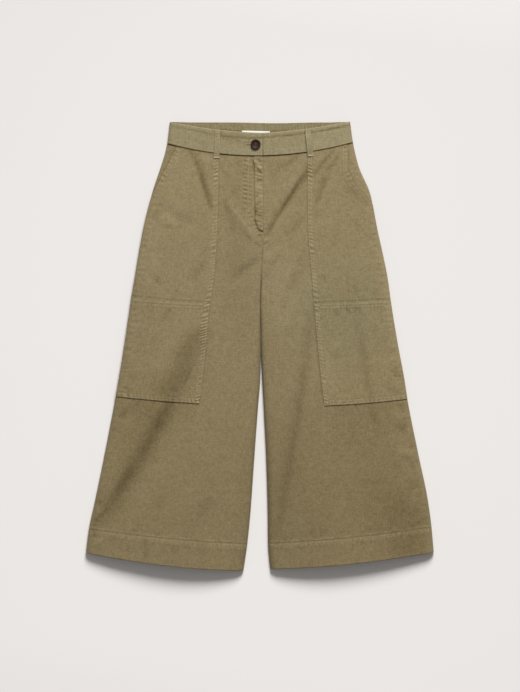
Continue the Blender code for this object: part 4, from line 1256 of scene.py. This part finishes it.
def make_front_band(leg):
    sign = LEGS[leg]["sign"]
    down = rows_between(*BAND_ROWS)
    end = np.full_like(down, BAND_ENDS[leg])
    x = columns_between(guide(leg, down)["side_x"], end, sign, BAND_PARTS, BAND_STEPS, BAND_END_STEPS)
    grid = band_face(leg)(down, x)
    grid[:, 0, 2] = SEAM_HEIGHT + SEAM_CLEAR
    y = grid[..., 1]
    # painted highlights along the top edge's fold and just above the seam; paler towards the left end
    highlight_and_wear = 0.02 + 0.10 * hump(down - BAND_TOP - 1, 1.5) + 0.12 * hump(down + 2.6, 1.2)
    highlight_and_wear = highlight_and_wear + 0.07 * hump(down + 10.5, 2) + 0.10 * ease((x - 80) / 30)
    # painted shade in the crease under the top edge and in the dip; painted shadow under the band's lower
    # edge
    dark = 0.18 * band_crease(down, x) + 0.5 * hump(down, 0.7) + 0.10 * band_dip(down, x)
    (top_x, top_y), (foot_x, foot_y) = FRONT_LOOPS[leg]
    beside_loop = np.interp(y, (foot_y, top_y), (foot_x, top_x)) + sign * (LOOP_WIDTH / 2 + 0.5)
    # painted shadow beside the loop
    shade = 0.32 * hump(x - beside_loop, 0.9)
    if leg == "left":
        # painted shadow beside the loop and beside the lapped end
        dark += shade + 0.36 * hump(x - LAPPED_END - 0.7, 0.9) * ease((down + 14) / 3)
    else:
        up = y - BUTTON_AT[1]
        by_hole = ease((x + 30) / 4) * ease((-14 - x) / 3)
        by_button = hump(np.hypot(x - BUTTON_AT[0], up) - 10.4, 1.1) * ease((-3 - up) / 3)
        # painted shadow beside the loop, painted shade round the buttonhole's slit, darker above the
        # button
        dark += shade * ease((-28 - down) / 5) + 0.5 * hump(up - 0.6, 2.5) * by_hole
        dark += 0.16 * hump(y - 385.2, 1.4) * between(x, -20, -8, 4)
        # painted highlights along the lapped edge, below the buttonhole and in a crescent under the
        # button
        highlight_and_wear += 0.30 * hump(LAPPED_END - x - 1.2, 0.9) * ease((down + 34) / 4)
        highlight_and_wear += 0.22 * hump(up + 4.2, 1.5) * by_hole + 0.2 * by_button
    cloth("waistband_front_" + leg, grid, BAND, BAND_CLOTH, (highlight_and_wear, dark))


def back_top(x):
    """The back band's top edge, which dips a little behind the label."""
    return BACK_TOP_Y + 0.9 * ease((np.abs(x) - 125) / 35) - 1.5 * hump(x - 28, 50)


def back_band_height(x, y, from_end):
    """The top of the back waistband, gathered on its elastic."""
    level = BAND_FLOOR + BAND_FULL * ease((from_end - 8) / 15)
    spread = ease((GATHER_HALF + 24 - np.abs(x)) / 30) * (0.75 + 0.25 * uneven(x, 0, 24, 69))
    ripple = puckers(x + 0.12 * (y - 395) + 1.5 * uneven(x, y, 9, 64), y * 0.25, GATHER_PITCH, 61)
    gathered = spread * (0.36 * ripple + 0.07 * uneven(x, y, 2.2, 63))
    return level + gathered + 0.25 * uneven(x, y, 25, 65) - 0.9 * (1 - roll(back_top(x) - y, 1.6))


def make_back_band():
    """The elasticated back waistband: its gathered inner face, made solid downwards."""
    rows = np.concatenate((np.linspace(0, 2, 5), np.linspace(3.2, BACK_TOP_Y - BACK_SEAM_Y, 30)))
    share = rows[:, None] / rows[-1]
    right, left = (guide(leg, BAND_TOP * (1 - share))["side_x"] for leg in LEGS)
    x = mix(right + 0.3, left - 0.3, np.linspace(0, 1, 441))
    y = mix(back_top(x), BACK_SEAM_Y, share)
    from_end = np.minimum(x - right, left - x)
    z = mix(SEAM_HEIGHT, back_band_height(x, y, from_end), ease(from_end / 5))
    dark = 0.24 * hump(back_top(x) - y - 0.6, 1.2) + 0.3 * hump(x - BACK_SEAM_X, 0.9)
    dark += 0.09 * ease((135 - np.abs(x)) / 20)
    for leg, start, end in BACK_SHADES:
        above = y - row_y(guide(leg, np.array([[float(BAND_TOP)]])), x)
        dark += 0.28 * hump(above - 1.8, 1.3) * between(x, start, end, 6)
    grid = points(x, y, np.maximum(z, BACK_BAND + SEAM_CLEAR))
    cloth("waistband_back", grid, BACK_BAND, BAND_CLOTH, (0.02, dark))


# ---- Belt loops and label ----


LOOP_EDGE = 0.3 * (1 - roll(LOOP_WIDTH / 2 - np.abs(LOOP_REACH), 0.5))


def make_front_loop(leg):
    """A front belt loop over the waistband, from its top edge to a tack on the pocket below."""
    top, foot = (np.array(end) for end in FRONT_LOOPS[leg])
    shares = np.linspace(0, 1, 45)[:, None]
    x = mix(top[0], foot[0], shares) + LOOP_REACH
    y = mix(top[1], foot[1], shares) * np.ones_like(x)
    down = down_at(leg, x, y)
    under = band_face(leg)(np.minimum(down, -2.0), x)[..., 2].max(axis=1)
    under = under - (BAND_PROUD - SEAM_GAP - PATCH) * ease(down[:, 6] / 2)
    for _ in range(3):
        under[1:-1] = (under[:-2] + 2 * under[1:-1] + under[2:]) / 4
    slack = LOOP_SLACK[leg] * np.sin(np.pi * np.minimum(shares / LOOP_SEAM, 1))
    z = under[:, None] + LOOP_SEAT + LOOP + slack - LOOP_EDGE + 0.12 * uneven(x, y, 7, 71)
    grid = points(x, y, z)
    inwards = LEGS[leg]["sign"] * LOOP_REACH
    # painted shadow along the loop's inner edge, painted shade above its foot and a painted highlight on
    # the tack; the left loop paler on its inner half
    dark = 0.10 * hump(inwards - LOOP_WIDTH / 2, 0.6) + 0.3 * hump(y - foot[1] - 3.2, 0.8)
    highlight_and_wear = 0.9 * hump(y - foot[1] - 1.0, 1.1)
    highlight_and_wear += 0.05 if leg == "right" else 0.08 + 0.12 * ease(inwards / 3)
    node = "belt_loop_front_" + leg
    cloth(node, grid, LOOP, BAND_CLOTH, (highlight_and_wear, dark))
    for column in (3, -4):
        place, _, ahead, _ = spaced(grid[:, column])
        up = np.cross(np.cross(ahead, (0, 0, 1)), ahead)
        add_stitches(node, place, ahead, up / np.linalg.norm(up, axis=1, keepdims=True))
    add_tack(node, *foot, grid[-1, 6, 2] + 0.2)


def make_back_loop(place, centre):
    """A plain belt loop on the outside of the back band, flat on the surface."""
    y = np.linspace(BACK_TOP_Y - 1, BACK_SEAM_Y + 1, 24)[:, None]
    grid = points(centre + LOOP_REACH, y, LOOP_EDGE)
    cloth("belt_loop_back_" + place, grid, LOOP, BAND_CLOTH, (0.08, 0), up=False)


def make_label():
    """The bare woven label inside the back band."""
    x = np.linspace(LABEL_LEFT, LABEL_RIGHT, 49)
    y = mix(np.linspace(*LABEL_TOPS, len(x)), LABEL_BOTTOM, np.linspace(0, 1, 21)[:, None])
    drop = 0.35 * (hump(x - LABEL_LEFT, 1.5) + hump(x - LABEL_RIGHT, 1.5))
    grid = points(x, y, LABEL_HEIGHT + 0.25 * uneven(x, y, 12, 73) - drop)
    cloth("label", grid, LABEL, label_material(), ending="_tape")


# ---- Button and buttonhole ----


def make_button():
    """A turned button with a raised rim and four holes, sewn on with thread whose pale tone is partly its
    colour and partly a painted highlight.
    """
    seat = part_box("button")[0][2] / MM
    angle = np.linspace(0, 2 * np.pi, BUTTON_SIDES, endpoint=False)
    radius, height = np.array(BUTTON_PROFILE).T[:, 1:-1, None]
    ring = points(radius * np.cos(angle), radius * np.sin(angle), height).reshape(-1, 3)
    verts = np.vstack((ring, (0, 0, BUTTON_PROFILE[0][1]), (0, 0, BUTTON_PROFILE[-1][1])))
    faces = tube_faces(len(radius), BUTTON_SIDES)[:, [0, 3, 2, 1]].tolist()
    top, last = len(ring), len(ring) - BUTTON_SIDES
    for j in range(BUTTON_SIDES):
        k = (j + 1) % BUTTON_SIDES
        faces += [(top, j, k), (top + 1, last + k, last + j)]
    mesh = new_mesh("button_body", (verts + (*BUTTON_AT, seat)) * MM, faces)
    mesh.shade_smooth()
    mesh.set_sharp_from_angle(angle=math.radians(40))
    obj = new_piece("button_body", mesh, resin_material())
    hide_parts("button")
    half = BUTTON_HOLE_PITCH / 2
    for across in (-half, half):
        for up in (-half, half):
            drill_hole(obj, Vector((BUTTON_AT[0] + across, BUTTON_AT[1] + up, seat)) * MM)
    place = np.array([(BUTTON_AT[0], BUTTON_AT[1] + up, seat + 2.0) for up in (-half, half)])
    threads = [(place, np.array([(1, 0, 0)] * 2), np.array([(0, 0, 1)] * 2))]
    beads("button_thread", threads, BUTTON_HOLE_PITCH + 0.6, 0.8, 0.7, BUTTON_THREAD)


def drill_hole(button, place):
    mesh, bm = bpy.data.meshes.new("button_drill"), bmesh.new()
    size = {"radius1": BUTTON_HOLE * MM, "radius2": BUTTON_HOLE * MM, "depth": 12 * MM}
    bmesh.ops.create_cone(bm, cap_ends=True, segments=20, **size)
    bm.to_mesh(mesh)
    bm.free()
    hole = place_object("button_drill", mesh)
    hole.location = place
    bpy.context.view_layer.update()
    cutter = button.modifiers.new("Hole", "BOOLEAN")
    cutter.operation = "DIFFERENCE"
    cutter.object = hole
    with bpy.context.temp_override(object=button, active_object=button):
        bpy.ops.object.modifier_apply(modifier=cutter.name)
    bpy.data.objects.remove(hole)


def make_buttonhole():
    """The buttonhole: close stitches round its slit, which is a dark strip of painted shadow."""
    face, y, half = band_face("right"), BUTTON_AT[1], 1.1

    def row(at_x, at_y, ahead):
        down = down_at("right", at_x, at_y)
        return face(down, at_x), ahead, normal(face, down, at_x)

    x = np.linspace(BUTTONHOLE_START, BUTTONHOLE_END, 46)
    ahead = np.tile((0.0, 1.0, 0.0), (len(x), 1))
    rows = [row(x, y + side * (half + 0.1), ahead) for side in (-1, 1)]
    turn = np.radians(np.arange(-80, 81, 20))
    for end, way in ((BUTTONHOLE_START, -1), (BUTTONHOLE_END, 1)):
        out = points(way * np.cos(turn), np.sin(turn), 0.0)
        rows.append(row(end + half * out[:, 0], y + half * out[:, 1], out))
    beads("buttonhole", rows, 1.5, 0.62, 0.7, THREAD_MATERIAL)
    middle = np.array([(BUTTONHOLE_START + BUTTONHOLE_END) / 2])
    # the slit itself: a dark strip of painted shadow on the band
    slit = face(down_at("right", middle, y), middle) + (0, 0, 0.12)
    slit = [(slit, np.array([(1, 0, 0)]), np.array([(0, 0, 1)]))]
    beads("buttonhole_slit", slit, BUTTONHOLE_END - BUTTONHOLE_START, 1.7, 0.4, SLIT_SHADOW)


# ---- Stitches ----


BEAD_RINGS = ((-0.5, 0.35), (-0.28, 0.85), (0.0, 1.0), (0.28, 0.85), (0.5, 0.35))
BEAD_SIDES = 6
STITCHES = {}           # the stitches sewn through each node's piece


def tube_faces(rings, sides):
    """Faces between rings of points, each ring joined to the next."""
    i, j = np.divmod(np.arange((rings - 1) * sides), sides)
    k = (j + 1) % sides
    return np.stack((i * sides + j, i * sides + k, (i + 1) * sides + k, (i + 1) * sides + j), axis=1)


def beads(name, rows, length, width, height, material):
    """Many small rounded threads as one mesh. rows holds places, directions and normals."""
    place, ahead, up = (np.concatenate(column) for column in zip(*rows))
    side = np.cross(up, ahead)
    side = side / np.linalg.norm(side, axis=1, keepdims=True)
    angle = np.linspace(0, 2 * np.pi, BEAD_SIDES, endpoint=False)
    along, size = np.array(BEAD_RINGS).T[:, :, None]
    ring = points(along, size * np.cos(angle), size * np.sin(angle)).reshape(-1, 3)
    frames = np.stack((ahead, side, up), axis=1)
    verts = place[:, None, :] + ring * (length, width / 2, height / 2) @ frames
    cap = np.arange(BEAD_SIDES)
    first = np.arange(len(place))[:, None, None] * len(ring)
    quads = (first + tube_faces(len(BEAD_RINGS), BEAD_SIDES)).reshape(-1, 4)
    ends = (first + np.array((cap[::-1], cap + len(ring) - BEAD_SIDES))).reshape(-1, BEAD_SIDES)
    mesh = new_mesh(name, verts.reshape(-1, 3) * MM, quads.tolist() + ends.tolist())
    mesh.shade_smooth()
    new_piece(name, mesh, material)


def spaced(path):
    """Stitches along a path: their places, distances and directions, and its points' distances."""
    length = np.concatenate(([0], np.cumsum(np.linalg.norm(np.diff(path, axis=0), axis=1))))
    at = np.arange(STITCH_PITCH / 2, length[-1], STITCH_PITCH)
    place, before, after = (
        points(*(np.interp(at + step, length, path[:, k]) for k in range(3))) for step in (0, -0.6, 0.6)
    )
    ahead = after - before
    return place, at, ahead / np.linalg.norm(ahead, axis=1, keepdims=True), length


def add_stitches(node, place, ahead, up):
    STITCHES.setdefault(node, []).append((place, ahead, up))


def sew(node, face, down, x):
    """Stitches along a line on a face, none of them below the surface that it lies on."""
    place, at, ahead, length = spaced(face(down, x))
    place[:, 2] = np.maximum(place[:, 2], THREAD / 2)
    add_stitches(node, place, ahead, normal(face, np.interp(at, length, down), np.interp(at, length, x)))


def sew_across(node, face, leg, down, margin, inner="patch_x"):
    """A row of stitches across a piece, between the side seam and its inner edge."""
    lines = guide(leg, np.array([float(down)]))
    low, high = sorted((lines["side_x"][0], lines[inner][0]))
    x = np.arange(low + margin, high - margin)
    sew(node, face, np.full(len(x), float(down)), x)


def sew_leg(leg):
    """The twin rows along a leg's pocket and patch, and the hem's row."""
    sign, mouth = LEGS[leg]["sign"], LEGS[leg]["mouth"]
    pocket, patch = pocket_face(leg), patch_face(leg)
    down, below = np.arange(2.0, LAP_TOP - 1), np.arange(LAP_TOP + 1.0, PATCH_END - 1)
    open_part = down[row_y(guide(leg, down), mouth_x(leg, down)) > mouth[-1, 1] + 3]
    for row in (ROW_NEAR, ROW_FAR):
        sew("pocket_" + leg, pocket, down, guide(leg, down)["patch_x"] - sign * row)
        sew("pocket_" + leg, pocket, open_part, mouth_x(leg, open_part) + sign * row)
        sew("patch_" + leg, patch, below, guide(leg, below)["patch_x"] - sign * row)
    for row_top, row_end in zip(LAP_ROWS, END_ROWS):
        sew_across("patch_" + leg, patch, leg, PATCH_END - row_end, 3.5)
        sew_across("patch_" + leg, patch, leg, LAP_TOP + row_top, 2.5)
    sew_across("front_" + leg, front_face(leg), leg, HEM_STITCH, 2.5, "inner_x")
    sew_across("back_" + leg, back_face(leg), leg, HEM_STITCH, 6, "inner_x")


def sew_fly():
    """The fly's J-shaped row, and the row at the waistband's lapped end."""
    path = np.array(FLY_STITCH)
    x, y = np.concatenate([np.linspace(a, b, 40) for a, b in zip(path[:-1], path[1:])]).T
    sew("front_right", front_face("right"), down_at("right", x, y), x)
    down = np.arange(-41.0, -2.0)
    sew("waistband_front_right", band_face("right"), down, np.full(len(down), LAPPED_END - 1.8))


def add_tack(node, x, y, z):
    """A bar tack: close stitches across a short bar."""
    across = np.arange(-TACK_WIDTH / 2, TACK_WIDTH / 2 + 0.01, 0.62)
    place = points(x + across, y + 0.25 * np.cos(np.arange(len(across)) * np.pi), z)
    ahead, up = (np.tile(way, (len(place), 1)) for way in ((0.0, 1.0, 0.0), (0.0, 0.0, 1.0)))
    beads(node + "_tack", [(place, ahead, up)], 1.9, 0.62, 0.5, TACK_THREAD)


# ---- Cut of the cloth ----


def declare_sheets():
    for node, width, length, area, under in CUTS:
        under = "floor" if under == "floor" else under + "_cloth"
        sewn = (node + "_stitches", node + "_tack")
        sewn = [bpy.data.objects[piece] for piece in sewn if piece in bpy.data.objects]


# ---- Scene ----


def make_floor():
    """A pale matt surface, a little deeper in tone towards the light so that it looks even."""
    n = Nodes("floor", {"Roughness": 0.95})
    parts = n.add("SeparateXYZ", {"Vector": n.place})
    along = n.math("ADD", parts.outputs["Y"], n.math("MULTIPLY", parts.outputs["X"], 0.16))
    share = n.spread(along, -FLOOR_REACH, FLOOR_REACH, 0, 1)
    mesh = new_mesh("floor", [(-6, -6, 0), (6, -6, 0), (6, 6, 0), (-6, 6, 0)], [(0, 1, 2, 3)])
    mesh.materials.append(n.finish(n.tint(share, FLOOR_NEAR, FLOOR_FAR)))
    floor = place_object("floor", mesh)
    floor.location.z = -0.0002


def make_light():
    """One large soft light from beyond the waist, a little towards +X, and a pale surround."""
    light = bpy.data.lights.new("key", "AREA")
    light.shape, light.size, light.energy = "DISK", LIGHT_SIZE, LIGHT_POWER
    light.color = (1.0, 0.99, 0.97)
    key = place_object("key", light)
    flat = LIGHT_DISTANCE * math.cos(LIGHT_HEIGHT)
    rise = LIGHT_DISTANCE * math.sin(LIGHT_HEIGHT)
    key.location = (flat * math.sin(LIGHT_TURN), flat * math.cos(LIGHT_TURN), rise)
    key.rotation_euler = (-key.location).to_track_quat("-Z", "Y").to_euler()
    world = bpy.data.worlds.new("surround")
    world.use_nodes = True
    surround = world.node_tree.nodes["Background"].inputs
    surround["Color"].default_value = (1.0, 0.985, 0.965, 1)
    surround["Strength"].default_value = SURROUND
    bpy.context.scene.world = world


def make_camera():
    data = bpy.data.cameras.new("camera")
    data.lens, data.sensor_width, data.clip_end = LENS, SENSOR, 50
    camera = place_object("camera", data)
    camera.location = (0.0005, 0, LENS * FRAME_HEIGHT * MM / SENSOR)
    bpy.context.scene.camera = camera


BODY = next(iter(frame["bodies"]))
TWILL_CLOTH = twill_material("twill_cloth")
BAND_CLOTH = twill_material("band_cloth", BAND_TINT)
THREAD_MATERIAL = thread_material()
TACK_THREAD = glossy_thread("tack_thread", (0.40, 0.34, 0.22), (0.56, 0.49, 0.34))
# the buttonhole's slit is a dark strip of painted shadow
SLIT_SHADOW = glossy_thread("slit_shadow", (0.020, 0.014, 0.013), (0.05, 0.038, 0.034))
# the button's thread is made pale, partly as a painted highlight
BUTTON_THREAD = glossy_thread("button_thread", (0.17, 0.13, 0.11), (0.24, 0.19, 0.16))
make_floor()
make_light()
make_camera()
bpy.context.scene.view_settings.view_transform = "Standard"
for leg in LEGS:
    make_front(leg)
    make_back(leg)
    make_pocket(leg)
    make_patch(leg)
    make_front_band(leg)
    make_front_loop(leg)
    sew_leg(leg)
make_placket()
make_back_band()
for place, centre in BACK_LOOPS.items():
    make_back_loop(place, centre)
make_label()
make_button()
make_buttonhole()
sew_fly()
for node, rows in STITCHES.items():
    beads(node + "_stitches", rows, STITCH, THREAD, 0.42, THREAD_MATERIAL)
declare_sheets()
